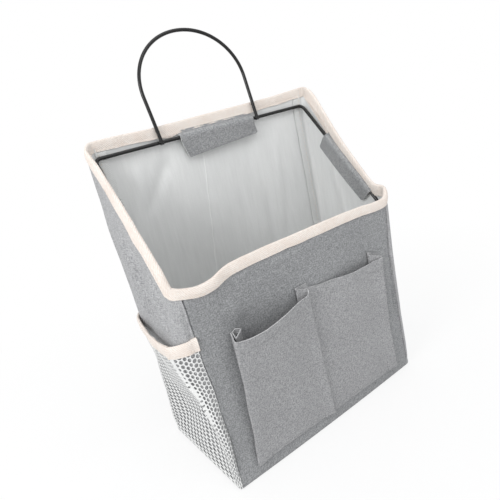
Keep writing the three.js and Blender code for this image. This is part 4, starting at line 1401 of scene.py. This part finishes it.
def make_flaps():
    lean = (BAR_BACK - BAR_FRONT) / math.hypot(*(BAR_BACK - BAR_FRONT))
    side_up = (0, -lean[1], lean[0])
    side = (BAR_FRONT + BAR_BACK) / 2 - SIDE_FORWARD * lean
    make_flap("back", 69, (6.5, *BAR_BACK), (0, -1, 0), (0, 0, 1), 71, -1.9, (-1.8, 3.4))
    make_flap("front", 108, (0, *BAR_FRONT), (0, 1, 0), (0, 0, 1), 73)
    make_flap("right", 66, (BAR_X, *side), (-1, 0, 0), side_up, 75, reach=SIDE_REACH)
    make_flap("left", 66, (-BAR_X, *side), (1, 0, 0), side_up, 77, reach=SIDE_REACH)


# Floor, light and backdrop. Between these two distances the floor turns from nearly white to white.
FLOOR_NEAR, FLOOR_FAR = 150, 480
WORLD_LIGHT = 0.83

# Lamps: place and aim in metres, power and size
LAMPS = [
    ("key_lamp", (-1.1, -0.35, 0.9), (0, 0, 0.12), 7.6, 0.5),
    ("high_lamp", (0.15, -0.7, 1.35), (0, 0, 0.16), 5.4, 1.0),
]


def make_floor():
    choose()
    bpy.ops.mesh.primitive_circle_add(vertices=96, radius=4, fill_type="NGON", location=(0, 0, -0.0004))
    floor = bpy.context.object
    floor.name = "pale_floor"
    f = Finish("pale_floor_paint", roughness=0.8, specular=0.2)
    place = f.solid_place()
    f.dress(("Base Color", f.blend(f.grain(place, 0.01, 2.0), (0.82, 0.82, 0.82, 1), (0.85, 0.85, 0.85, 1))))
    away = f.add("VectorMath", {"operation": "LENGTH"}, Vector=place).outputs["Value"]
    share = f.sum("MULTIPLY", f.ranged(away, FLOOR_NEAR, FLOOR_FAR, 0.8, 1.0), f.seen())
    f.end_in("Material Output", share, f.shader, f.add("Emission", Color=(1, 1, 1, 1), Strength=1.0))
    floor.data.materials.append(f.material)


def make_light():
    world = bpy.data.worlds.new("studio")
    bpy.context.scene.world = world
    world.use_nodes = True
    w = Nodes(world.node_tree)
    plain = w.nodes["Background"]
    plain.inputs["Color"].default_value = (0.98, 0.99, 1.0, 1)
    plain.inputs["Strength"].default_value = WORLD_LIGHT
    w.end_in("World Output", w.seen(), plain, w.add("Background", Color=(1, 1, 1, 1)))
    for name, place, aim, power, size in LAMPS:
        bpy.ops.object.light_add(type="AREA", location=place)
        lamp = bpy.context.object
        lamp.name = name
        lamp.data.shape = "RECTANGLE"
        lamp.data.size = lamp.data.size_y = size
        lamp.data.energy = power
        lamp.rotation_euler = (Vector(aim) - Vector(place)).to_track_quat("-Z", "Y").to_euler()


make_bag()
make_mouth_tape()
make_pocket()
make_pocket_stitches()
for side, word in ((-1, "left"), (1, "right")):
    make_net(side, word)
    make_net_binding(side, word)
make_seams()
make_floor_seams()
make_frame_wire()
make_arch()
make_flaps()
make_floor()
make_light()

bpy.context.scene.view_settings.view_transform = "Standard"
